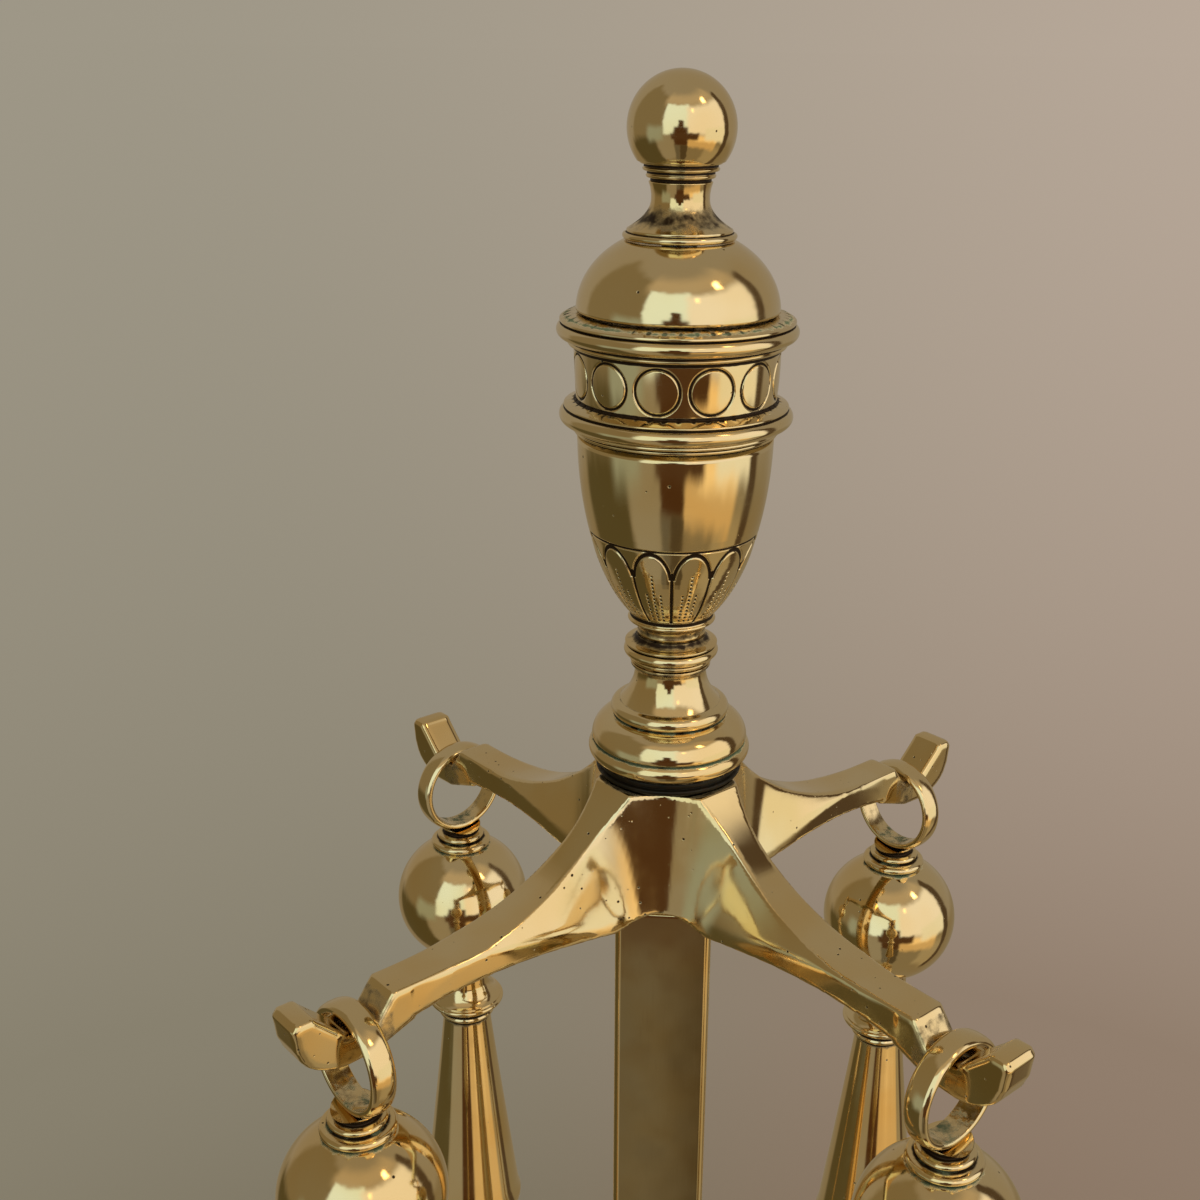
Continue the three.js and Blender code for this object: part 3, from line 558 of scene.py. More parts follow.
def aged_material(finish):
    """Blackened brass: a washer nobody can reach to polish, dull, with green at its edges."""
    material, put = new_material("Blackened brass")
    where = put("TexCoord", out="Object")
    crust = put("TexNoise", where, Scale=per(2.4), Detail=5, Roughness=0.65)
    salts = put("TexNoise", where, Scale=per(5), Detail=3)
    dull = put("MapRange", crust, 0.45, 0.75, interpolation_type=SMOOTH)
    base = put("Mix", dull, finish.aged, finish.patina_and_shade, data_type="RGBA")
    green = put("MapRange", salts, 0.56, 0.75, 0, 0.5, interpolation_type=SMOOTH)
    base = put("Mix", green, base, finish.verdigris, data_type="RGBA")
    rough = put("MapRange", crust, 0.3, 0.8, 0.28, 0.6, interpolation_type=SMOOTH)
    bump = put("Bump", Height=crust, Distance=0.2 * MM, Strength=1.0)
    put("OutputMaterial", put("BsdfPrincipled", base, 0.6, rough, Normal=bump))
    return material


def steel_material(finish):
    """Mild steel bar, machined and oiled: grey, satin, with a little brown bloom."""
    material, put = new_material("Machined mild steel")
    where = put("TexCoord", out="Object")
    bloom = put("TexNoise", where, Scale=per(4), Detail=4, Roughness=0.6)
    bloom = put("MapRange", bloom, 0.55, 0.8, 0, 0.5, interpolation_type=SMOOTH)
    base = put("Mix", bloom, finish.steel, finish.patina_and_shade, data_type="RGBA")
    rings = put("TexNoise", put("Mapping", where, Scale=(0.1, 0.1, 1)), Scale=per(0.4), Detail=2)
    rough = put("MapRange", bloom, 0, 0.5, 0.3, 0.6)
    bump = put("Bump", Height=rings, Distance=0.05 * MM, Strength=0.6)
    put("OutputMaterial", put("BsdfPrincipled", base, 1.0, rough, Normal=bump))
    return material


def beech_material(finish):
    """Oiled beech end block: fine straight grain with short dark flecks."""
    material, put = new_material("Oiled beech")
    where = put("TexCoord", out="Object")
    grain = put(
        "TexNoise", put("Mapping", where, Scale=(1, 1, 0.08)), Scale=per(1.2), Detail=4, Roughness=0.6
    )
    flecks = put("TexNoise", put("Mapping", where, Scale=(1, 1, 0.2)), Scale=per(0.8), Detail=2)
    base = put("Mix", put("MapRange", grain, 0, 1, 0, 0.5), finish.beech, finish.patina_and_shade, data_type="RGBA")
    fleck = put("MapRange", flecks, 0.62, 0.75, 0, 0.4, interpolation_type=SMOOTH)
    base = put("Mix", fleck, base, finish.patina_and_shade, data_type="RGBA")
    rough = put("MapRange", grain, 0.3, 0.7, 0.42, 0.58)
    bump = put("Bump", Height=grain, Distance=0.1 * MM, Strength=0.6)
    put("OutputMaterial", put("BsdfPrincipled", base, 0.0, rough, Normal=bump))
    return material


def bristle_material(finish):
    """Dyed hog bristle: dark brown strands, paler at the worn tips, with a dry sheen."""
    material, put = new_material("Hog bristle")
    where = put("Mapping", put("TexCoord", out="Object"), Scale=(1, 1, 0.05))
    streak = put("TexNoise", where, Scale=per(1.5), Detail=3)
    base = put("Mix", streak, finish.bristle, [c * 2.6 for c in finish.bristle], data_type="RGBA")
    tips = put("Attribute", out="Fac", attribute_name="tip")
    worn = put("MapRange", tips, 0, 1, 0, 0.6)
    base = put("Mix", worn, base, finish.worn_bristle, data_type="RGBA")
    rough = put("MapRange", streak, 0.3, 0.7, 0.45, 0.65)
    bump = put("Bump", Height=streak, Distance=0.1 * MM, Strength=0.5)
    put("OutputMaterial", put("BsdfPrincipled", base, 0.0, rough, Normal=bump))
    return material


# ---------- operators ----------
class SET_OT_materials(bpy.types.Operator):
    """Make the brass, steel, wood and bristle finishes"""

    bl_idname = "tool_set.materials"
    bl_label = "Finishes"

    def execute(self, context):
        for key, material in make_materials().items():
            context.scene["set_" + key] = material.name
        return {"FINISHED"}


class SET_OT_feet(bpy.types.Operator):
    """Turn the four bun feet"""

    bl_idname = "tool_set.feet"
    bl_label = "Feet"

    def execute(self, context):
        for end in ("front", "rear"):
            for side in ("left", "right"):
                node = f"foot_{end}_{side}"
                _, foot, top, r = box_of(node)
                bun = top - foot - 7.3
                profile = eased([
                    (r * 0.55, 0), *arc(r * 0.62, bun * 0.43, r * 0.38, bun * 0.43, -88, 78, 14),
                    (r * 0.64, bun * 0.88), (r * 0.6, bun * 0.9), (r * 0.6, bun),
                    (3, bun), (3, top - foot),
                ], 0.4)
                turned_piece(node, "stand", "turned", profile)
        return {"FINISHED"}


def moulding(outline, x, y, z, corner):
    """Distance field of a square moulding whose outline gives half widths by level."""
    return outline_distance(outline, smooth_max(np.abs(x), np.abs(y), corner) + corner / 4, z)


class SET_OT_base(bpy.types.Operator):
    """Cast the plate, the step and the hollow rise, and the collar round the column's foot"""

    bl_idname = "tool_set.base"
    bl_label = "Base"

    def execute(self, context):
        soft = context.scene.set_stand.soft_edge / MM
        self.plate(soft)
        self.step(soft)
        self.rise(soft)
        self.collar()
        return {"FINISHED"}

    def square(self, node, field, pitch):
        _, low, high, half = box_of(node)
        points, quads = cast(
            field, (-half - 1, -half - 1, low - 1), (half + 1, half + 1, high + 1), pitch, True
        )
        place(node, points, quads, [], "stand", "cast")

    def plate(self, soft):
        _, low, high, half = box_of("base_plate")
        foot = box_of("foot_front_right")
        foot_at, foot_r = foot[0][0], foot[3]
        tall = high - low
        outline = [(0, low), (half - 1.5, low), (half, low + 1.6), (half, low + tall * 0.46)]
        outline += [(half - 2.6, low + tall * 0.54), *arc(half - 7.6, low + tall * 0.56, 5, 5.4, 8, 70, 6)]
        outline += [(half - 8.5, high), (0, high)]
        wall, pocket = half - 9, foot_at - foot_r - 2

        def field(x, y, z):
            body = moulding(outline, x, y, z, 1.6)
            one = smooth_max(slab(x, wall), slab(y, pocket), 1)
            two = smooth_max(slab(x, pocket), slab(y, wall), 1)
            hollow = smooth_max(np.minimum(one, two), z - (low + 8), 1)
            studs = np.hypot(np.abs(x) - foot_at, np.abs(y) - foot_at) - STUD
            studs = np.maximum(studs, z - (low + 8))
            bore = np.hypot(x, y) - BORE
            return smooth_max(smooth_max(body, -hollow, soft), -np.minimum(studs, bore), 0.3)

        self.square("base_plate", field, 1.0)

    def step(self, soft):
        _, low, high, half = box_of("base_step")
        outline = [(0, low), (half, low), (half, high - 5), (half - 3, high - 4)]
        outline += [*arc(half - 3, high, 4, 4, 270, 182, 6), (0, high)]
        hole = 42

        def field(x, y, z):
            body = moulding(outline, x, y, z, 1.4)
            return smooth_max(body, -smooth_max(slab(x, hole), slab(y, hole), 1), soft)

        self.square("base_step", field, 0.8)

    def rise(self, soft):
        _, low, high, half = box_of("base_rise")
        neck = box_of("column_collar")[3] - 1
        edge, wall = 3, 5
        t = np.linspace(0, 1, 14)
        sweep = list(zip(neck + (half - neck - edge) * (1 - t) ** 2.6, low + edge + (high - low - edge) * t))
        outline = [(0, low), (half, low), (half, low + edge), *sweep, (0, high)]
        inner = [
            (0, low - 9), *[(h - wall, z - edge - 1) for h, z in sweep[:-3]], (0, sweep[-4][1] - edge - 1)
        ]

        def field(x, y, z):
            body = moulding(outline, x, y, z, 1.4)
            body = smooth_max(body, -moulding(inner, x, y, z, 1), soft)
            return smooth_max(body, BORE - np.hypot(x, y), 0.3)

        self.square("base_rise", field, 0.8)

    def collar(self):
        _, low, high, half = box_of("column_collar")
        hole = box_of("column")[3] + 0.3
        outline = [(0, low), (half - 1, low), *arc(half - 2.2, low + 2.6, 2.2, 2.6, -60, 90, 8)]
        outline += [(half - 3.4, low + 5.6), *arc(half - 3, high, 2.6, 3.2, 262, 186, 5), (0, high)]

        def field(x, y, z):
            body = moulding(outline, x, y, z, 1.0)
            return smooth_max(body, -smooth_max(slab(x, hole), slab(y, hole), 0.3), 0.3)

        self.square("column_collar", field, 0.45)


class SET_OT_column(bpy.types.Operator):
    """Draw the square column tube"""

    bl_idname = "tool_set.column"
    bl_label = "Column"

    def execute(self, context):
        _, low, high, half = box_of("column")
        wall, corner, burr, steps = 2.5, 1.8, 0.4, 24
        outer = self.section(half, corner)
        inner = self.section(half - wall, 0.3)
        shrink = [burr, *[0] * (steps + 2), burr]
        levels = [low, low + burr, *np.linspace(low + 1, high - 1, steps), high - burr, high]
        rings = [
            np.column_stack([outer * (1 - s / half), np.full(len(outer), z)]) for z, s in zip(levels, shrink)
        ]
        rings += [np.column_stack([inner, np.full(len(inner), z)]) for z in (high, low)]
        count = len(outer)
        index = np.arange(len(rings) * count).reshape(-1, count)
        after = np.roll(index, -1, 0)
        quads = np.stack([index, np.roll(index, -1, 1), np.roll(after, -1, 1), after], 2).reshape(-1, 4)
        place("column", np.vstack(rings), quads, [], "stand", "drawn")
        return {"FINISHED"}

    def section(self, half, corner, steps=6):
        """A square with rounded corners, anticlockwise."""
        points = []
        for turn in range(4):
            a = math.radians(90 * turn)
            sweep = arc(half - corner, half - corner, corner, corner, 0, 90, steps)
            points += [
                (x * math.cos(a) - y * math.sin(a), x * math.sin(a) + y * math.cos(a)) for x, y in sweep
            ]
        return np.array(points)


class SET_OT_tie_rod(bpy.types.Operator):
    """Thread the tie rod and add its washer and nut under the base"""

    bl_idname = "tool_set.tie_rod"
    bl_label = "Tie rod"

    THREADED = 24  # length of the thread at the rod's foot

    def execute(self, context):
        pitch = context.scene.set_tools.thread / MM
        _, low, high, r = box_of("tie_rod")
        tall, thread, deep = high - low, self.THREADED, 0.6
        ends = [(r - 0.8, 0), (r - 0.1, 0.8)]
        turns = int((thread - 2) / pitch)
        for k in range(turns):
            z = 1 + k * pitch
            ends += [(r, z), (r - deep, z + pitch * 0.5)]
        profile = [
            *ends, (r, thread), *[(r, z) for z in np.linspace(thread + 2, tall - 2, 12)], (r - 0.8, tall)
        ]
        turned_piece("tie_rod", "stand", "steel", profile, sides=32)
        _, wl, wh, wr = box_of("tie_rod_washer")
        ring = eased([(wr - 0.1, 0), (wr, 0.2), (wr, wh - wl - 0.2), (wr - 0.2, wh - wl)], 0.2)
        turned_piece("tie_rod_washer", "stand", "steel", ring, sides=64, bore=BORE)
        self.nut()
        return {"FINISHED"}

    def nut(self):
        _, low, high, half = box_of("tie_rod_nut")
        flat = half * math.cos(math.radians(30))

        def field(x, y, z):
            sides = np.full(np.shape(x), -1e9)
            for k in range(3):
                a = math.radians(30 + 60 * k)
                sides = np.maximum(sides, slab(x * math.cos(a) + y * math.sin(a), flat))
            chamfer = (np.hypot(x, y) - half) * 0.5 + np.maximum(z - high, low - z) * 0.85 + 0.6
            body = np.maximum(np.maximum(sides, chamfer), np.maximum(z - high, low - z))
            return smooth_max(body, BORE - np.hypot(x, y), 0.2)

        start, end = (-half - 1, -half - 1, low - 1), (half + 1, half + 1, high + 1)
        cast_piece("tie_rod_nut", "stand", field, start, end, 0.4, finish="steel")


class SET_OT_spider(bpy.types.Operator):
    """Cast the hub with its four hooked arms"""

    bl_idname = "tool_set.spider"
    bl_label = "Hook spider"

    HUB_TOP, HUB_FOOT = 15.8, 20.2  # half widths across the hub's flats
    NECK, ARM = 3.8, 5.25  # half widths of an arm's top edge, by the hub and at the hook
    ARM_FOOT = 9.6  # half width of an arm's underside by the hub
    FILLET_TOP, FILLET_FOOT = 9.5, 6.5  # softness where an arm's side runs into a flat
    REACH, DROP, DEPTH = 87.5, 27.5, 9.5  # an arm's length, its fall, and its height at the end

    def execute(self, context):
        _, _, self.top, _ = box_of("hook_spider")
        _, _, column_top, self.column = box_of("column")
        self.foot = column_top + 0.3
        self.soft = context.scene.set_stand.soft_edge / MM
        self.start = self.HUB_TOP * math.sqrt(2) - self.NECK
        self.end = self.top - self.DROP
        self.seat = self.end - 6
        self.tool_r = math.hypot(*box_of("poker_loop")[0])
        self.hook = self.hook_outline()
        reach = self.tool_r + 26
        points, quads = cast(
            self.field, (-reach, -reach, self.foot - 11), (reach, reach, self.top + 1), 0.7, True
        )
        place("hook_spider", spun(points, 45), quads, [], "stand", "cast", self.marks(points))
        return {"FINISHED"}

    def hook_outline(self):
        """Side outline of the hook: drop face, seat, rising tongue and round underside."""
        near, far, seat, under = self.tool_r - 3.75, self.tool_r + 3.75, self.seat, self.seat - 8
        tip = far + 7
        return [
            (self.REACH - 6, self.end), (self.REACH, self.end), (near, seat), (far, seat),
            (tip, seat + 6.8), (tip + 1.2, seat + 8.2), (tip + 5.0, seat + 8.2), (tip + 6.3, seat + 6.6),
            (tip + 5.6, seat + 1), *arc(far - 1, seat + 1, 13.2, 9, -8, -82, 6),
            (near + 1, under + 0.4), (self.REACH - 6, self.end - self.DEPTH),
        ]

    def levels(self, along):
        """The arm's top, how steeply it falls, its underside and the top of its plain lower strip."""
        t = np.clip((along - self.start) / (self.REACH - self.start), 0, 1)
        top = self.end + self.DROP * (1 - t) ** 2.9
        slope = self.DROP * 2.9 * (1 - t) ** 1.9 / (self.REACH - self.start)
        under = self.foot + (self.end - self.DEPTH - self.foot) * t + 3.5 * np.sin(math.pi * t)
        strip = np.minimum(under + 0.9 + (self.DEPTH - 0.9) * t**0.9, top - 0.6)
        return t, top, slope, under, strip

    def side(self, along, across, z):
        """One side of an arm: a facet that leans out from the top edge, then a plain strip."""
        t, top, _, _, strip = self.levels(along)
        edge = self.NECK + (self.ARM - self.NECK) * smooth_step(0, 0.6, t)
        half = self.ARM_FOOT + (self.ARM + 0.05 - self.ARM_FOOT) * smooth_step(0.02, 0.92, t)
        down, out = top - strip, np.maximum(half - edge, 0.05)
        facet = ((across - edge) * down + (z - top) * out) / np.hypot(down, out)
        return smooth_max(facet, across - half, self.soft)

    def field(self, x, y, z):
        x, y = np.abs(x), np.abs(y)
        along, across = np.maximum(x, y), np.minimum(x, y)
        one, two = self.side(x, y, z), self.side(y, x, z)
        # Between two arms the hub shows a flat that leans back, and it runs into the arms' sides in
        # wide fillets.
        share = np.clip((z - self.foot) / (self.top - self.foot), 0, 1)
        flat = (x + y) / math.sqrt(2) - (self.HUB_FOOT + (self.HUB_TOP - self.HUB_FOOT) * share)
        fillet = self.FILLET_FOOT + (self.FILLET_TOP - self.FILLET_FOOT) * share
        body = np.minimum(smooth_min(one, flat, fillet), smooth_min(two, flat, fillet))
        _, top, slope, under, _ = self.levels(along)
        body = smooth_max(body, (z - top) / np.sqrt(1 + slope**2), self.soft)
        # The underside rises away from the column, which it sits on.
        beyond = (x + y) / math.sqrt(2) - self.column
        under = under + 0.6 * np.maximum(beyond, 0) * (1 - smooth_step(14, 26, along))
        body = smooth_max(body, under - z, self.soft)
        body = smooth_max(body, along - self.REACH, self.soft)
        hook = smooth_max(
            outline_distance(self.hook, along, z) - 0.1, across - self.ARM - 0.04, self.soft * 2.6
        )
        s, u = (x + y) / math.sqrt(2), (x - y) / math.sqrt(2)
        spigot = block(s, u, z, 9.7, 9.7, self.foot - 10, self.foot + 2, 0.4)
        body = np.minimum(np.minimum(body, hook), spigot)
        return np.maximum(body, BORE - np.hypot(x, y))

    def marks(self, points):
        """Darkening in the hooks' seats, on their drop faces and round the washer, and verdigris round the
        washer.
        """
        x, y = np.abs(points[:, 0]), np.abs(points[:, 1])
        along, across = np.maximum(x, y), np.minimum(x, y)
        ring = np.hypot(x, y)
        z = points[:, 2]
        washer = np.exp(-(((ring - 18.4) / 1.0) ** 2)) * smooth_step(self.top - 1.0, self.top - 0.2, z)
        seat = np.exp(-(((along - self.tool_r) / 4.2) ** 2)) * smooth_step(self.end, self.end - 4, z)
        seat *= across < self.ARM - 0.4
        drop = smooth_step(self.REACH - 0.5, self.REACH + 0.6, along)
        drop *= smooth_step(self.end - 0.4, self.end - 1.6, z)
        drop *= along < self.tool_r
        return {
            "patina_and_shade": np.maximum(washer * 0.7, np.maximum(seat * 0.55, drop * 0.5)),
            "verdigris": washer * 0.25
        }


class SET_OT_finial(bpy.types.Operator):
    """Turn the stack over the hub: washer, pedestal, knop, urn, frieze, lid and finial"""

    bl_idname = "tool_set.finial"
    bl_label = "Urn and finial"

    PETAL_TURN, CIRCLE_TURN = 272, 247  # degrees by which the engraving is turned
    NICKS = 46  # chased round each ledge of the frieze
    LEDGES = 7.75, 27.3  # their levels
    BULGE = 0.16  # how far a petal or a circle swells

    def execute(self, context):
        self.stand = context.scene.set_stand
        self.washer()
        self.pedestal()
        self.knop()
        self.urn()
        self.frieze()
        self.lid()
        self.finial()
        return {"FINISHED"}

    def ring(self, node, profile, finish="turned", **options):
        turned_piece(node, "stand", finish, profile, **{"sides": 144, "bore": BORE, **options})

    def washer(self):
        r = box_of("hub_shim")[3]
        profile = [
            (r - 0.9, 0), (r - 0.1, 0.5), (r, 1.4), (r - 0.9, 1.8), (r - 0.5, 2.1), (r - 0.4, 3.1),
            (r - 1.2, 3.6)
        ]
        self.ring("hub_shim", eased(profile, 0.3), "aged")

    def pedestal(self):
        r = box_of("pedestal")[3]
        lip = r - 5.6
        profile = [
            (r - 1.2, 0), *arc(r - 2.2, 2.3, 2.2, 2.3, -72, 62, 12), (r - 1.55, 4.4),
            *arc(r - 6.5, 5.2, 5.7, 5.9, 0, 84, 18), (lip - 0.7, 11.2),
            *arc(lip - 1.5, 13.1, 1.5, 1.75, -80, 86, 12), (lip - 2.2, 15.1),
        ]
        t = np.linspace(0.05, 1, 22)
        profile += list(zip(8.9 + (lip - 2.2 - 8.9) * (1 - t) ** 2.1, 15.1 + 8.3 * t))
        profile += [(9.3, 24.3), (9.9, 24.6), (9.9, 25.3), (9.6, 25.4)]
        self.ring(
            "pedestal", eased(profile, 0.22), green=[(4.5, 0.7, 0.85), (11.3, 0.45, 0.7)],
            stain=[(24.6, 1.0, 0.6), (0.0, 0.7, 0.7)]
        )

    def knop(self):
        r = box_of("neck_knop")[3]
        profile = [
            (r - 2, 0), (r - 1.5, 0.3), (r - 1.4, 1.0), (r - 1.9, 1.4),
            *arc(r - 1.5, 2.9, 1.5, 1.35, -72, 74, 12), (r - 0.9, 4.35), (r - 0.3, 4.7), (r - 0.25, 5.1),
            (r - 1.0, 5.35), *arc(r - 1.4, 7.6, 1.9, 2.2, 262, 200, 8), (r - 3.3, 6.9),
        ]
        self.ring("neck_knop", eased(profile, 0.2), stain=[(6.4, 1.2, 0.75), (0, 0.5, 0.5)])

    def urn(self):
        _, low, high, r = box_of("urn_body")
        tall = high - low
        bowl = arc(0, tall, r, tall - 0.6, -63, 0, 30)
        start = bowl[0]
        profile = [
            (8.4, 0), *arc(10.6, 1.2, 2.3, 2.2, 196, 118, 8), (10.0, 3.5),
            *arc(10.2, 4.1, 0.6, 0.5, -70, 70, 6), (10.25, 4.9), (start[0] - 0.2, 5.6), *bowl,
        ]
        profile = finer(eased(profile, 0.2), 0.17, start[1] - 0.2, 28)
        line_level = 27.0
        petal = {"foot": start[1] - 0.1, "top": line_level - 0.75, "line": line_level}

        def carve(angle, level, radius):
            return self.petals(angle, level - low, radius, petal)

        self.ring("urn_body", profile, sides=1080, carve=carve, stain=[(1.4, 1.3, 0.6), (tall, 0.8, 0.5)])

    def petals(self, angle, level, radius, petal):
        """Round-arched petals between one engraved line and the urn's foot, with punched dots."""
        stand = self.stand
        line, punch = stand.line / MM, stand.punch / MM
        share = 2 * math.pi / stand.petals
        turn = (angle - math.radians(self.PETAL_TURN)) % share - share / 2
        u = turn * radius
        v = level - petal["foot"]
        half = radius * share / 2
        arch_top = petal["top"] - petal["foot"]
        rise = 6.8  # of the round arch, above where it springs
        spring = arch_top - rise
        side = half - np.abs(u)
        a = 15.9 * share / 2 + 0.28
        curve = np.sqrt((u / a) ** 2 + ((v - spring) / rise) ** 2)
        arch = np.abs(curve - 1) * a * 0.92
        width = line * 1.25
        distance = np.where(v < spring, side, arch)
        distance = np.minimum(distance, np.where(v < spring + 2.2, side, 9))
        groove = 1 - smooth_step(width * 0.35, width * 1.3, distance)
        ring = 1 - smooth_step(line * 0.4, line * 1.2, np.abs(level - petal["line"]))
        inside = (v > 0.1) & (v < arch_top + 1)
        groove = np.maximum(groove * inside, ring)
        gap = 1.12  # between punched dots
        dots = np.zeros_like(u)
        for column, reach in ((-1, 9.4), (0, 14.6), (1, 9.4)):
            du = u - column * (0.35 * half + 0.15)
            dv = v - gap * np.round(v / gap)
            dot = 1 - smooth_step(punch * 0.4, punch * 1.15, np.hypot(du, dv))
            dots = np.maximum(dots, dot * (v > 0.7) * (v < reach))
        swell = self.BULGE * np.clip(1 - (u / half) ** 2, 0, 1) * (v > 0.2)
        swell *= smooth_step(spring + 5.4, spring + 1, v)
        cut = stand.depth / MM * groove + 0.26 * dots - swell
        # The engraved lines and punched dots are darkened: old polish and painted shade in the cuts.
        return cut, np.maximum(groove, dots * 0.9)

    def frieze(self):
        _, low, _, r = box_of("urn_frieze")
        wall = r - 4.5
        profile = [
            (wall + 0.1, 0), (wall + 0.45, 0.25), (wall + 0.5, 0.7), (wall + 0.15, 0.95), (wall + 1.2, 1.25),
            (wall + 1.55, 1.6), (wall + 1.4, 2.05), (wall + 0.95, 2.25),
            *arc(r - 2.5, 4.2, 1.95, 1.85, -78, 76, 14), (r - 2.0, 6.25), (r - 1.6, 6.45), (r - 1.7, 6.8),
            (wall + 0.3, 7.75), (wall, 8.0), (wall + 0.55, 20.1), (wall + 0.9, 20.35), (wall + 1.8, 20.7),
            (wall + 2.0, 21.1), (wall + 1.7, 21.6), (wall + 1.9, 21.9),
            *arc(r - 1.9, 23.9, 1.9, 1.75, -74, 72, 14), (r - 1.2, 25.75), (r - 0.75, 26.0),
            (r - 0.8, 26.5), (r - 2.0, 27.15), (wall + 0.6, 27.7),
        ]
        profile = finer(eased(profile, 0.16), 0.2, 7.6, 20.4)
        centre = 14.05

        def carve(angle, level, radius):
            stand = self.stand
            line, circle = stand.line / MM, stand.circle_r / MM
            share = 2 * math.pi / stand.circles
            turn = (angle - math.radians(self.CIRCLE_TURN)) % share - share / 2
            near = np.abs(level - low - centre) < 6.4
            spot = np.hypot(turn * radius, level - low - centre)
            ring = (1 - smooth_step(line * 0.45, line * 1.3, np.abs(spot - circle))) * near
            dome = self.BULGE * np.clip(1 - (spot / circle) ** 2, 0, 1) * near
            teeth, dark_teeth = self.nicks(angle, level - low)
            # The engraved circles and the nicks are darkened: old polish and painted shade in the cuts.
            return stand.depth / MM * ring - dome + teeth, np.maximum(ring, dark_teeth)

        self.ring("urn_frieze", profile, sides=900, carve=carve,
                  green=[(7.3, 0.4, 0.45), (27.1, 0.6, 0.75), (1.0, 0.3, 0.4)],
                  stain=[(27.4, 0.6, 0.45)])

    def nicks(self, angle, level):
        """Small chased nicks round the two ledges, worn away in places."""
        beat = np.abs(((angle * self.NICKS / math.pi) % 2) - 1)
        worn = 0.5 + 0.5 * np.sin(3 * angle + 1.1) * np.sin(7 * angle + 0.4)
        tooth = smooth_step(0.35, 0.75, beat * (0.55 + 0.45 * worn))
        near = sum(np.exp(-(((level - ledge) / 0.4) ** 2)) for ledge in self.LEDGES)
        # The second value darkens each nick: old polish and painted shade.
        return 0.28 * tooth * near, tooth * near

    def lid(self):
        _, low, high, r = box_of("urn_lid")
        tall = high - low
        profile = [(r - 1.2, 0), (r - 0.5, 0.1), *arc(0, 0, r, tall + 3, 1.5, 56.5, 40), (r * 0.53, tall)]
        self.ring("urn_lid", profile, green=[(0.2, 0.5, 0.6)], stain=[(0, 0.9, 0.5)])

    def finial(self):
        _, low, high, base = box_of("finial")
        ball, tall = base - 0.8, high - low
        centre = tall - ball
        start = -math.degrees(math.acos(9.3 / ball))
        t = np.linspace(0, 1, 22)
        waist = 6.6 + 5.1 * (1 - t[:14] / t[13]) ** 2.1
        profile = [
            (base - 0.5, 0), *arc(base - 0.6, 0.75, 0.6, 0.65, -70, 72, 8), (base - 1.1, 1.45),
            (base - 0.95, 1.75), (base - 0.95, 2.15), (base - 1.3, 2.35),
        ]
        profile += [(float(w), 2.35 + 6.4 * float(s / t[13])) for w, s in zip(waist, t[:14])][1:]
        profile += [(6.62, 9.8), (6.85, 11.2), (7.25, 12.4)]
        for level, outer in ((12.6, 7.7), (14.1, 8.5), (15.6, 9.2)):
            profile += [
                (outer - 0.9, level), (outer - 0.85, level + 0.6), (outer, level + 0.7),
                (outer + 0.2, level + 1.2)
            ]
        profile += [(9.0, 16.75), *arc(0, centre, ball, ball, start + 4, 90, 48)]
        turned_piece("finial", "stand", "turned", eased(profile, 0.18), sides=144,
                     green=[(0.1, 0.35, 0.5), (1.5, 0.25, 0.4)], stain=[(4.9, 3.6, 0.66)])


class SET_OT_loops(bpy.types.Operator):
    """Roll the four hanging loops"""

    bl_idname = "tool_set.loops"
    bl_label = "Hanging loops"

    SIDES = 112  # steps round each loop
    WIDE, THICK = 6.5, 2.2  # the rolled bar

    def execute(self, context):
        for tool, degrees in TOOLS.items():
            centre, low, high, _ = box_of(tool + "_loop")
            outer, half, inner = (high - low) / 2, self.WIDE / 2, (high - low) / 2 - self.THICK
            section = eased([
                (inner, -half + 0.25), (inner + 0.5, -half), (outer - 1.0, -half),
                (outer - 0.25, -half + 0.9), (outer, -0.8), (outer, 0.8), (outer - 0.25, half - 0.9),
                (outer - 1.0, half), (inner + 0.5, half), (inner, half - 0.25), (inner - 0.12, 0),
            ], 0.55, closed=True)
            rows = np.array(section)
            turn = np.arange(self.SIDES) * 2 * math.pi / self.SIDES
            r, x = rows[:, :1], np.repeat(rows[:, 1:], self.SIDES, 1)
            points = np.stack([x, -r * np.cos(turn), r * np.sin(turn)], 2)
            index = np.arange(len(rows) * self.SIDES).reshape(-1, self.SIDES)
            after = np.roll(index, -1, 0)
            quads = np.stack([index, after, np.roll(after, -1, 1), np.roll(index, -1, 1)], 2).reshape(-1, 4)
            # Painted shade on the inner face of the ring.
            patina_and_shade = np.repeat(smooth_step(inner + 0.5, inner, r), self.SIDES, 1) * 0.42
            inside = np.repeat(smooth_step(inner + 0.8, inner, r), self.SIDES, 1)
            green = smooth_step(-inner * 0.5, -inner, points[:, :, 2]) * inside
            flat = spun(points.reshape(-1, 3), degrees, centre)
            flat[:, 2] += (low + high) / 2
            place(tool + "_loop", flat, quads, [], tool + "_hanger", "turned",
                  {"patina_and_shade": patina_and_shade.ravel(), "verdigris": green.ravel() * 0.6})
        return {"FINISHED"}


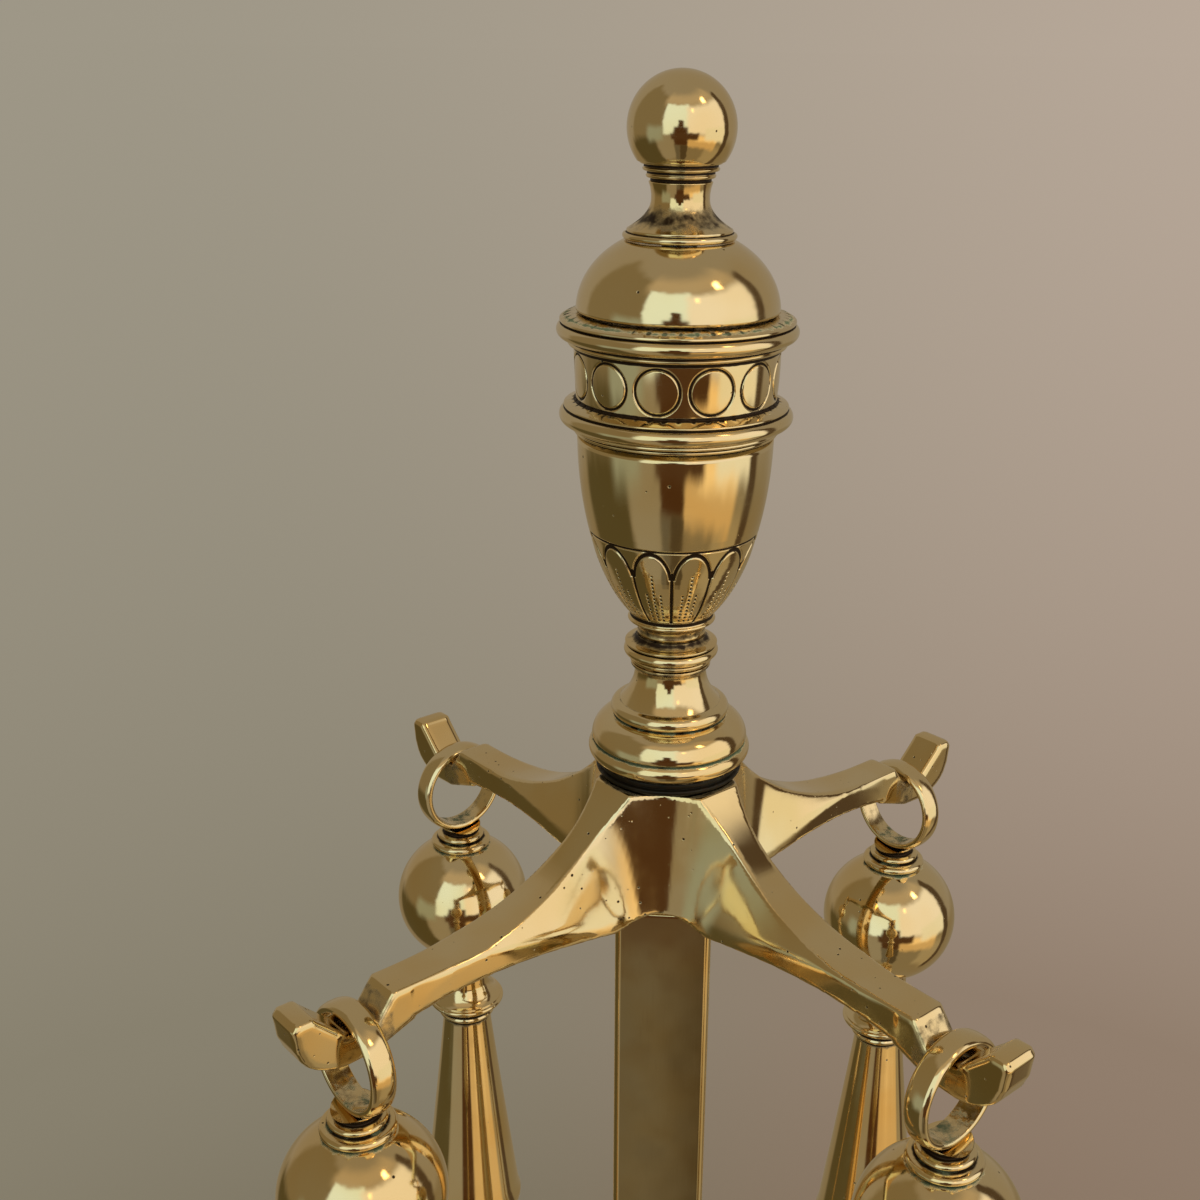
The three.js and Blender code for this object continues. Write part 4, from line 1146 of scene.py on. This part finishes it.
class SET_OT_handles(bpy.types.Operator):
    """Turn each tool's collar, ball, handle, ferrule and shaft"""

    bl_idname = "tool_set.handles"
    bl_label = "Handles and shafts"

    def execute(self, context):
        for tool, degrees in TOOLS.items():
            self.neck(tool, degrees)
            self.ball(tool)
            self.handle(tool)
            self.ferrule(tool)
            self.shaft(tool)
        return {"FINISHED"}

    def turned(self, tool, part, profile, finish="turned", **options):
        turned_piece(f"{tool}_{part}", tool, finish, profile, **options)

    def neck(self, tool, degrees):
        """The collar under the loop: two beads, then a saddle that the loop turns in."""
        node = tool + "_neck"
        centre, low, _, r = box_of(node)
        _, loop_low, loop_high, _ = box_of(tool + "_loop")
        loop_z, loop_r = (loop_low + loop_high) / 2, (loop_high - loop_low) / 2 + 0.2
        foot = box_of(tool + "_ball")[2] + 0.3
        stud = low - foot
        profile = eased([
            (3, stud), (3, -0.3), (r - 1.1, -0.3), (r - 0.9, 0.1),
            *arc(r - 1.25, 1.25, 1.25, 1.1, -62, 74, 10), (r - 2.6, 2.5), (r - 2.9, 2.8),
            *arc(r - 3.0, 3.6, 0.95, 0.85, -66, 74, 8), (r - 4.2, 4.7), (r - 4.3, 5.2), (r - 3.9, 5.9),
            (r - 3.2, 6.6), (r - 3.0, 7.2),
        ], 0.2)
        profile += [(rr, 7.2) for rr in np.linspace(r - 3.2, 0.4, 10)]
        lifted = [(a, b + foot) for a, b in profile]
        points, quads, tris, marks = lathe(
            lifted, sides=64, green=[(foot - 0.1, 0.5, 0.8), (foot + 2.6, 0.4, 0.6)]
        )
        saddle = loop_z - np.sqrt(np.maximum(loop_r**2 - points[:, 1] ** 2, 0))
        points[:, 2] = np.minimum(points[:, 2], np.where(points[:, 2] > foot + 4.9, saddle, 1e9))
        place(node, spun(points, degrees, centre), quads, tris, tool, "turned", marks)

    def ball(self, tool):
        _, low, high, r = box_of(tool + "_ball")
        half = (high - low) / 2
        edge = math.degrees(math.asin(half / r))
        profile = arc(0, half, r, r, -edge, edge, 64)
        self.turned(tool, "ball", profile, sides=128, bore=STUD, green=[(2 * half, 0.5, 0.7)])

    def handle(self, tool):
        _, low, high, r = box_of(tool + "_handle")
        tall = high - low
        flange, waist, swell = tall - 19, tall - 26, 8
        t = np.linspace(0, 1, 30)
        cone = 7.6 + (r - 0.4 - 7.6) * (1 - t) ** 1.06
        profile = [
            (9, 0), (r - 2.6, 0.3), (r - 2.2, 1.6), (r - 1.2, 2.2),
            *arc(r - 3.2, swell - 0.6, 3.2, 4.8, -58, 10, 10),
            *[(float(c), float(swell + (waist - swell) * s)) for c, s in zip(cone, t)][1:],
            (7.9, waist + 0.5), (8.9, waist + 1.2), (9.1, waist + 2.0), (8.5, waist + 2.8),
            (8.9, waist + 3.4), (11.0, flange - 1.9), (11.9, flange - 1.2), (12.1, flange - 0.5),
            (11.9, flange), (11.2, flange + 0.3), *arc(13.6, flange + 8.3, 6.4, 8, 250, 196, 12),
            (7.2, tall - 6), (7.3, tall - 1.4), (7.7, tall - 0.9), (7.5, tall),
        ]
        self.turned(
            tool, "handle", finer(eased(profile, 0.3), 3), sides=112, bore=STUD,
            green=[(waist + 2.8, 0.4, 0.5)], stain=[(tall - 1, 1.2, 0.5)]
        )

    def ferrule(self, tool):
        _, low, high, r = box_of(tool + "_ferrule")
        tall = high - low
        profile = eased([
            (5.4, 0), (5.9, 0.5), (5.9, 1.6), (5.4, 2.1), (5.7, 3), (r - 1.9, tall - 6),
            (r - 1.0, tall - 5.3), (r - 0.2, tall - 4.6), *arc(r - 1.8, tall - 2.6, 1.8, 1.8, -60, 60, 8),
            (r - 1.4, tall - 0.4), (r - 1.6, tall),
        ], 0.25)
        self.turned(tool, "ferrule", profile, sides=72, bore=BORE)

    def shaft(self, tool):
        _, low, high, r = box_of(tool + "_shaft")
        tall = high - low
        profile = [
            (r - 0.5, 0), (r, 0.5), *[(r, z) for z in np.linspace(2, tall - 2, 24)], (r, tall - 0.5),
            (r - 0.5, tall)
        ]
        self.turned(tool, "shaft", profile, "drawn", sides=40)


class SET_OT_poker(bpy.types.Operator):
    """Forge the poker's point and barb"""

    bl_idname = "tool_set.poker"
    bl_label = "Poker point"

    def execute(self, context):
        centre = box_of("poker_shaft")[0]
        _, low, high, _ = box_of("poker_point")
        outline = [
            (0, low), (0.9, low + 0.6), (3.3, low + 12), (4.3, high - 21), (5.6, high - 17.5), (6, high - 15),
            (6, high - 2.6), (5.2, high - 1.6), (5.6, high - 0.8), (4.9, high), (0, high),
        ]
        barb_z = low + 34
        barb = [
            (0, barb_z + 7), (4, barb_z), (9, barb_z - 3.6), (14.4, barb_z - 4), (19, barb_z - 1),
            (23.2, barb_z + 5.4)
        ]

        def field(x, y, z):
            hole = np.maximum(np.hypot(x, y) - BORE, high - SOCKET - z)
            body = outline_distance(outline, np.hypot(x, y), z)
            flat, share = path_distance(barb, y, z)
            hook = np.hypot(flat, x) - (3.0 - 2.2 * share)
            return smooth_max(smooth_min(body, hook, 2.2), -hole, 0.3)

        start, end = (-8, -8, low - 1), (8, 27, high + 1)
        cast_piece("poker_point", "poker", field, start, end, 0.55, TOOLS["poker"], centre)
        return {"FINISHED"}


class SET_OT_shovel(bpy.types.Operator):
    """Press the shovel's pan and turn its socket"""

    bl_idname = "tool_set.shovel"
    bl_label = "Shovel"

    def execute(self, context):
        centre = box_of("shovel_shaft")[0]
        _, low, high, _ = box_of("shovel_pan")
        half, shoulder, back, deep, wall = 48, 36, -8, 22, 1.8

        def outline(inset):
            return [
                (-half + inset, low - 4 * (inset > 0)), (half - inset, low - 4 * (inset > 0)),
                (half - inset, low + 26), (shoulder - inset, high - 10),
                *arc(shoulder - 10 - inset, high - 10, 10, 10 - inset, 10, 90, 5),
                *arc(-shoulder + 10 + inset, high - 10, 10, 10 - inset, 90, 170, 5),
                (-shoulder + inset, high - 10), (-half + inset, low + 26),
            ]

        outer, inner = outline(0), outline(wall)

        def field(x, y, z):
            shell = smooth_max(outline_distance(outer, y, z), np.maximum(back - x, x - back - deep), 3.2)
            hollow = smooth_max(outline_distance(inner, y, z), back + wall - x, 2.6)
            return smooth_max(shell, -hollow, 0.7)

        start, end = (back - 2, -half - 2, low - 2), (back + deep + 2, half + 2, high + 2)
        cast_piece("shovel_pan", "shovel", field, start, end, 0.7, TOOLS["shovel"], centre)
        _, foot, top, r = box_of("shovel_socket")
        tall = top - foot
        profile = eased([
            (r - 0.4, 0), (r, 0.5), (r, 2.6), (r - 0.6, 3.2), (r - 1.4, 3.8), (r - 1.6, 6),
            (r - 2.4, tall - 5.4), (r - 1.2, tall - 4.6), (r - 0.8, tall - 3.6), (r - 0.8, tall - 2.4),
            (r - 1.4, tall - 1.2), (r - 1.2, tall - 0.6), (r - 1.9, tall),
        ], 0.3)
        turned_piece("shovel_socket", "shovel", "turned", profile, sides=72, bore=BORE)
        return {"FINISHED"}


class SET_OT_brush(bpy.types.Operator):
    """Turn the brush's cap and block and set its bristles"""

    bl_idname = "tool_set.brush"
    bl_label = "Hearth brush"

    TUFT_R = 22.5  # radius of the bristles where they leave the block

    def execute(self, context):
        _, low, high, r = box_of("brush_cap")
        tall = high - low
        skirt = tall - 15
        shell = [
            (r - 1.3, 0.1), (r - 0.4, 0), (r, 0.6), (r, 1.8), (r - 0.5, 2.4), (r - 0.5, skirt - 2.2),
            (r, skirt - 1.6), (r, skirt - 0.4), (r - 0.9, skirt + 0.2),
            *arc(6.2, skirt, r - 8, tall - skirt - 4, 6, 78, 16), (6.8, tall - 3.6), (7.3, tall - 2.6),
            (7.0, tall - 1.4), (6.2, tall - 0.8), (6.2, tall), (4.3, tall),
            (4.3, tall - 10), (0.01, tall - 10.2), (0.01, skirt + 1.2), (r - 1.9, skirt + 1.0),
            (r - 1.7, skirt - 1),
        ]
        turned_piece("brush_cap", "brush", "turned", eased(shell, 0.25), sides=112, bore=r - 1.6,
                     green=[(tall - 3, 0.5, 0.5)])
        _, b_low, b_high, b_r = box_of("brush_block")
        block_profile = eased(
            [(b_r - 0.4, 0), (b_r, 0.4), (b_r, b_high - b_low - 0.4), (b_r - 0.4, b_high - b_low)], 0.3
        )
        turned_piece("brush_block", "brush", "beech", block_profile, sides=72)
        self.bristles(context.scene.set_tools)
        return {"FINISHED"}

    def bristles(self, tools):
        """Strands from the block's underside that spread to a worn, uneven end."""
        centre, low, high, wide = box_of("brush_bristles")
        draw = np.random.default_rng(7)
        count, r = tools.strands, tools.strand_r / MM
        spread = np.sqrt(draw.random(count))
        turn = draw.random(count) * 2 * math.pi
        top_r, end_r = spread * (self.TUFT_R - 0.8), spread * (wide - 1.2)
        ends = low + 0.3 + 5.5 * spread**3 + draw.random(count) * 3.2
        bow = draw.normal(0, 0.9, (count, 2))
        rings, sides = 6, 4
        share = np.linspace(0, 1, rings)
        levels = high + (ends - high)[:, None] * share
        reach = top_r[:, None] + (end_r - top_r)[:, None] * share**1.4
        x = reach * np.cos(turn)[:, None] + bow[:, :1] * np.sin(share * 3)
        y = reach * np.sin(turn)[:, None] + bow[:, 1:] * np.sin(share * 3)
        over = np.maximum(np.hypot(x, y) / (wide - r - 0.1), 1)
        x, y = x / over, y / over
        thin = r * (1 - 0.45 * share)
        corner = np.arange(sides) * 2 * math.pi / sides
        px = x[:, :, None] + thin[None, :, None] * np.cos(corner) + centre[0]
        py = y[:, :, None] + thin[None, :, None] * np.sin(corner) + centre[1]
        pz = np.repeat(levels[:, :, None], sides, 2)
        points = np.stack([px, py, pz], 3).reshape(-1, 3)
        index = np.arange(count * rings * sides).reshape(count, rings, sides)
        low_ring, high_ring = index[:, 1:], index[:, :-1]
        faces = [low_ring, np.roll(low_ring, -1, 2), np.roll(high_ring, -1, 2), high_ring]
        quads = np.stack(faces, 3).reshape(-1, 4)
        caps = np.vstack([index[:, 0], index[:, -1][:, ::-1]])
        tips = np.repeat(np.repeat(smooth_step(0.75, 1, share)[None, :, None], count, 0), sides, 2)
        place("brush_bristles", points, np.vstack([quads, caps]), [], "brush", "bristle",
              {"tip": tips.ravel()})


class SET_OT_tongs(bpy.types.Operator):
    """Cast the tongs' yoke and legs and turn their pin"""

    bl_idname = "tool_set.tongs"
    bl_label = "Tongs"

    PIN_HOLE = 2.8
    GAP, CHEEK = 4.85, 3.0  # half the yoke's gap, and a cheek's thickness

    def execute(self, context):
        self.centre = box_of("tongs_shaft")[0]
        _, pin_low, pin_high, _ = box_of("tongs_pin")
        self.pivot = (pin_low + pin_high) / 2
        self.yoke()
        self.pin()
        for side, name in ((1, "left"), (-1, "right")):
            self.leg(side, name)
        return {"FINISHED"}

    def yoke(self):
        _, low, high, _ = box_of("tongs_yoke")
        pivot, slot, cheek, wide = self.pivot, self.GAP, self.CHEEK, 8.0

        def field(x, y, z):
            jaw = block(x, y, z, slot + cheek, wide, low, pivot + 12, 1.4)
            round_end = smooth_max(np.hypot(y, z - pivot) - wide, z - pivot, 0.1)
            jaw = np.where(z < pivot, np.maximum(jaw, round_end), jaw)
            slope = (np.abs(y) - wide + (z - pivot - 7) * 0.7) * 0.8
            jaw = smooth_max(jaw, slope, 1.0)
            outline = [
                (0, pivot + 8), (7, pivot + 8), (7, high - 4), (7.6, high - 3), (7.2, high - 1.4),
                (6.2, high), (0, high)
            ]
            body = smooth_min(jaw, outline_distance(outline, np.hypot(x, y), z), 1.6)
            gap = smooth_max(slab(x, slot), z - (pivot + 7), 1.2)
            hole = np.hypot(y, z - pivot) - self.PIN_HOLE
            bore = np.maximum(np.hypot(x, y) - BORE, high - SOCKET - z)
            body = smooth_max(body, -gap, 0.4)
            return smooth_max(body, -np.minimum(hole, bore), 0.3)

        start, end = (-9, -10, low - 1), (9, 10, high + 1)
        cast_piece("tongs_yoke", "tongs", field, start, end, 0.5, TOOLS["tongs"], self.centre)

    def pin(self):
        half = self.GAP + self.CHEEK + 0.3
        profile = [
            (3.0, -half - 2), *arc(2.9, -half - 0.9, 1.6, 1.1, -80, 0, 6), (4.5, -half), (2.5, -half),
            (2.5, half), (4.5, half), *arc(2.9, half + 0.9, 1.6, 1.1, 0, 80, 6), (3.0, half + 2),
        ]
        points, quads, tris, marks = lathe(eased(profile, 0.15), sides=48)
        points = np.stack([points[:, 2], points[:, 1], -points[:, 0] + self.pivot], 1)
        points = spun(points, TOOLS["tongs"], self.centre)
        place("tongs_pin", points, quads, tris, "tongs", "steel", marks)

    def leg(self, side, name):
        node = "tongs_leg_" + name
        _, low, _, _ = box_of(node)
        grip_r, grip_t, bow, thick, wide, at = 9, 4, 24, 4.4, 9, 2.35
        grip_z, pivot = low + grip_r, self.pivot
        tall, tip = pivot - grip_z, 13
        anchors = [(0, pivot), (bow * 0.55, pivot - tall * 0.16), (bow, pivot - tall * 0.45)]
        anchors += [(tip + (bow - tip) * 0.75, pivot - tall * 0.72), (tip, grip_z)]
        path = smooth_path(anchors, 24)

        def field(x, y, z):
            y = y * side
            x = x * side
            flat, share = path_distance(path, y, z)
            strip = smooth_max(flat - wide * (1 - 0.45 * share) / 2, slab(x - at, thick / 2), 1.1)
            eye = smooth_max(np.hypot(y, z - pivot) - wide * 0.72, slab(x - at, thick / 2), 1.0)
            body = smooth_min(strip, eye, 0.8)
            body = smooth_max(body, self.PIN_HOLE - np.hypot(y, z - pivot), 0.3)
            grip = smooth_max(np.hypot(x, z - grip_z) - grip_r, slab(y - tip, grip_t / 2), 1.6)
            return smooth_min(body, grip, 1.4)

        reach = bow + wide
        ends = sorted((-8 * side, reach * side))
        start, end = (-11, ends[0], low - 1), (11, ends[1], pivot + 8)
        cast_piece(node, "tongs_" + name, field, start, end, 0.6, TOOLS["tongs"], self.centre)


def smooth_path(anchors, steps):
    """A smooth line through points."""
    points = [np.array(p, float) for p in anchors]
    points = [2 * points[0] - points[1], *points, 2 * points[-1] - points[-2]]
    made = []
    for a, b, c, d in zip(points, points[1:], points[2:], points[3:]):
        for t in np.arange(steps // 4) / (steps // 4):
            bend, twist = 2 * a - 5 * b + 4 * c - d, 3 * b - a - 3 * c + d
            made.append(0.5 * (2 * b + (c - a) * t + bend * t**2 + twist * t**3))
    return [*made, points[-2]]


# ---------- stage ----------
# What the polished metal mirrors, as (from, to) in degrees round the stand, (from, to) in degrees above
# the horizon, softness in degrees, and colour. 0 is the front and 90 is the right-hand side.
ROOM = [
    ((-180, 180), (-90, -16), 6, (0.26, 0.21, 0.13)), ((-118, -38), (-16, 60), 5, (0.235, 0.187, 0.11)),
    ((-125, -55), (-90, -14), 6, (0.10, 0.08, 0.035)), ((-55, -12), (-60, -16), 5, (0.32, 0.28, 0.21)),
    ((-45, 100), (44, 66), 9, (0.52, 0.42, 0.29)), ((-38, 20), (-12, 46), 3, (0.93, 1.08, 1.06)),
    ((60, 106), (-60, -28), 6, (0.40, 0.33, 0.21)), ((14, 84), (-36, -14), 4, (0.72, 0.50, 0.24)),
    ((30, 84), (-24, -14), 4, (1.12, 0.82, 0.43)), ((-75, -38), (-22, 2), 6, (0.34, 0.37, 0.31)),
    ((14, 101), (-12, 42), 6, (1.05, 0.98, 0.90)), ((52, 101), (-21, 0), 4, (0.98, 0.95, 0.82)),
    ((-15, 14), (-34, 3), 3, (0.08, 0.036, 0.013)), ((-6, 6), (-5, 15), 2, (0.08, 0.036, 0.013)),
    ((-22, 38), (-22, -9), 3, (0.09, 0.045, 0.02)), ((-15, -1), (-64, -33), 3, (0.15, 0.13, 0.095)),
    ((-1, 16), (-64, -33), 2, (0.09, 0.066, 0.036)), ((101, 114), (-60, 48), 2.5, (0.09, 0.06, 0.035)),
    ((60, 70), (45, 54), 3, (6.0, 4.2, 2.2)), ((25, 30), (32, 37), 2, (2.4, 1.8, 1.1)),
]
WALL = (0.33, 0.285, 0.22)


class SET_OT_stage(bpy.types.Operator):
    """Lay the floor and set up the light and the camera"""

    bl_idname = "tool_set.stage"
    bl_label = "Stage"

    def execute(self, context):
        stage = context.scene.set_stage
        context.scene.view_settings.view_transform = "Standard"
        self.world(context, stage)
        self.floor(stage)
        self.light()
        self.camera(context, stage)
        return {"FINISHED"}

    def backdrop(self, put, vector, stage):
        """Backdrop colours by bearing, far and near, the same on the floor and in the world. They hold
        painted light: lighter to the right and far away, darker on the floor near the stand.
        """
        flat = put("VectorMath", vector, (1, 1, 0), operation="MULTIPLY")
        across = put("SeparateXYZ", put("VectorMath", flat, operation="NORMALIZE"))
        share = put("MapRange", across, -0.42, 0.42, interpolation_type=SMOOTH)
        far = put("Mix", share, stage.left_far, stage.right_far, data_type="RGBA")
        return far, put("Mix", share, stage.left_near, stage.right_near, data_type="RGBA")

    def world(self, context, stage):
        world = bpy.data.worlds.new("Room")
        context.scene.world = world
        world.use_nodes = True
        world.node_tree.nodes.clear()
        put = partial(add, world.node_tree)
        view = put("TexCoord", out="Generated")
        # Ragged edges, so that no patch of the room mirrors as a clean box.
        ragged = put("TexNoise", view, Scale=6.0, Detail=2.0, out="Color")
        ragged = put("VectorMath", ragged, (0.5, 0.5, 0.5), operation="SUBTRACT")
        ragged = put("VectorMath", ragged, Scale=0.11, operation="SCALE")
        bent = put("VectorMath", put("VectorMath", view, ragged, operation="ADD"), operation="NORMALIZE")
        sides = put("SeparateXYZ", bent)
        x, y, z = sides.node.outputs
        turn = put("Math", x, put("Math", y, -1.0, operation="MULTIPLY"), operation="ARCTAN2")
        turn = put("Math", turn, operation="DEGREES")
        rise = put("Math", put("Math", z, operation="ARCSINE"), operation="DEGREES")
        shown = WALL
        for turns, rises, soft, paint in ROOM:
            share = 1.0
            for value, (low, high), round_end in ((turn, turns, 180), (rise, rises, 90)):
                for limit, way in ((low, 1), (high, -1)):
                    if abs(limit) < round_end:
                        edge = put(
                            "MapRange", value, limit - way * soft, limit + way * soft,
                            interpolation_type=SMOOTH
                        )
                        share = put("Math", share, edge, operation="MULTIPLY")
            shown = put("Mix", share, shown, paint, data_type="RGBA")
        room = put("Background", shown, stage.room)
        wall = put("Background", self.backdrop(put, view, stage)[0], 1.0)
        put("OutputWorld", put("MixShader", put("LightPath", out="Is Camera Ray"), room, wall))

    def floor(self, stage):
        size = 60.0
        mesh = bpy.data.meshes.new("Floor")
        mesh.from_pydata(
            [(-size, -size, 0), (size, -size, 0), (size, size, 0), (-size, size, 0)], [], [(0, 1, 2, 3)]
        )
        floor = bpy.data.objects.new("Floor", mesh)
        bpy.context.scene.collection.objects.link(floor)
        material, put = new_material("Painted floor")
        spot = put("NewGeometry", out="Position")
        far, near = self.backdrop(put, spot, stage)
        away = put("VectorMath", spot, operation="LENGTH")
        # Half way to the backdrop's colour at one and a half metres, and all the way at the horizon.
        near_end = 0.75
        beyond = put("Math", put("Math", away, near_end, operation="SUBTRACT"), 0.0, operation="MAXIMUM")
        share = put("Math", beyond, put("Math", beyond, near_end, operation="ADD"), operation="DIVIDE")
        even = put("Emission", put("Mix", share, near, far, data_type="RGBA"), 1.0)
        # Close by, the floor takes the light and the stand's shadow.
        lit = put("MapRange", away, 0.22, near_end, interpolation_type=SMOOTH)
        put("OutputMaterial", put("MixShader", lit, put("BsdfDiffuse", near), even))
        mesh.materials.append(material)
        floor.visible_glossy = False  # the metal mirrors the painted room instead

    def light(self):
        lamp = bpy.data.lights.new("Soft box", "AREA")
        lamp.shape, lamp.size, lamp.energy = "DISK", 1.6, 26
        soft_box = bpy.data.objects.new("Soft box", lamp)
        soft_box.location = (0.7, -0.8, 2.2)
        middle = Vector((0, 0, 0.3))
        aim = middle - soft_box.location
        soft_box.rotation_euler = aim.to_track_quat("-Z", "Y").to_euler()
        soft_box.visible_glossy = False
        bpy.context.scene.collection.objects.link(soft_box)

    def camera(self, context, stage):
        """Close to the front and a little above the finial, looking down."""
        lens = bpy.data.cameras.new("Camera")
        lens.sensor_width, lens.lens = 36, stage.lens
        lens.shift_x, lens.shift_y = -0.034, 0.026
        lens.clip_start, lens.clip_end = 0.01, 200
        camera = bpy.data.objects.new("Camera", lens)
        position = Vector((0.0144, -0.3518, 0.7288))
        heading, pitch, roll = math.radians(-3.57), math.radians(-21.52), math.radians(0.79)
        ahead = Vector(
            (math.sin(heading) * math.cos(pitch), math.cos(heading) * math.cos(pitch), math.sin(pitch))
        )
        right = Vector((math.cos(heading), -math.sin(heading), 0))
        up = right.cross(ahead)
        tilted = right * math.cos(roll) + up * math.sin(roll)
        upright = up * math.cos(roll) - right * math.sin(roll)
        turn = Matrix((tilted, upright, -ahead)).transposed()
        camera.matrix_world = Matrix.LocRotScale(position, turn.to_quaternion(), None)
        context.scene.collection.objects.link(camera)
        context.scene.camera = camera


class SET_PT_panel(bpy.types.Panel):
    """Lists the pieces of the tool set"""

    bl_idname = "SET_PT_panel"
    bl_label = "Tool Set"
    bl_space_type = "VIEW_3D"
    bl_region_type = "UI"
    bl_category = "Tool Set"

    def draw(self, context):
        for operator in OPERATORS:
            self.layout.operator(operator.bl_idname)
        for group in SETTINGS:
            section = self.layout.box()
            holder = getattr(context.scene, group)
            for key in SETTINGS[group].__annotations__:
                section.prop(holder, key)


OPERATORS = [
    SET_OT_materials, SET_OT_stage, SET_OT_feet, SET_OT_base, SET_OT_column, SET_OT_tie_rod, SET_OT_spider,
    SET_OT_finial, SET_OT_loops, SET_OT_handles, SET_OT_poker, SET_OT_shovel, SET_OT_brush, SET_OT_tongs,
]
SETTINGS = {
    "set_finish": FinishSettings,
    "set_stand": StandSettings,
    "set_tools": ToolSettings,
    "set_stage": StageSettings,
}


def register():
    for cls in [*SETTINGS.values(), *OPERATORS, SET_PT_panel]:
        bpy.utils.register_class(cls)
    for name, cls in SETTINGS.items():
        setattr(bpy.types.Scene, name, PointerProperty(type=cls))


def unregister():
    for name in SETTINGS:
        delattr(bpy.types.Scene, name)
    for cls in reversed([*SETTINGS.values(), *OPERATORS, SET_PT_panel]):
        bpy.utils.unregister_class(cls)


def main():
    register()
    for operator in OPERATORS:
        group, name = operator.bl_idname.split(".")
        getattr(getattr(bpy.ops, group), name)()


if __name__ == "__main__":
    main()
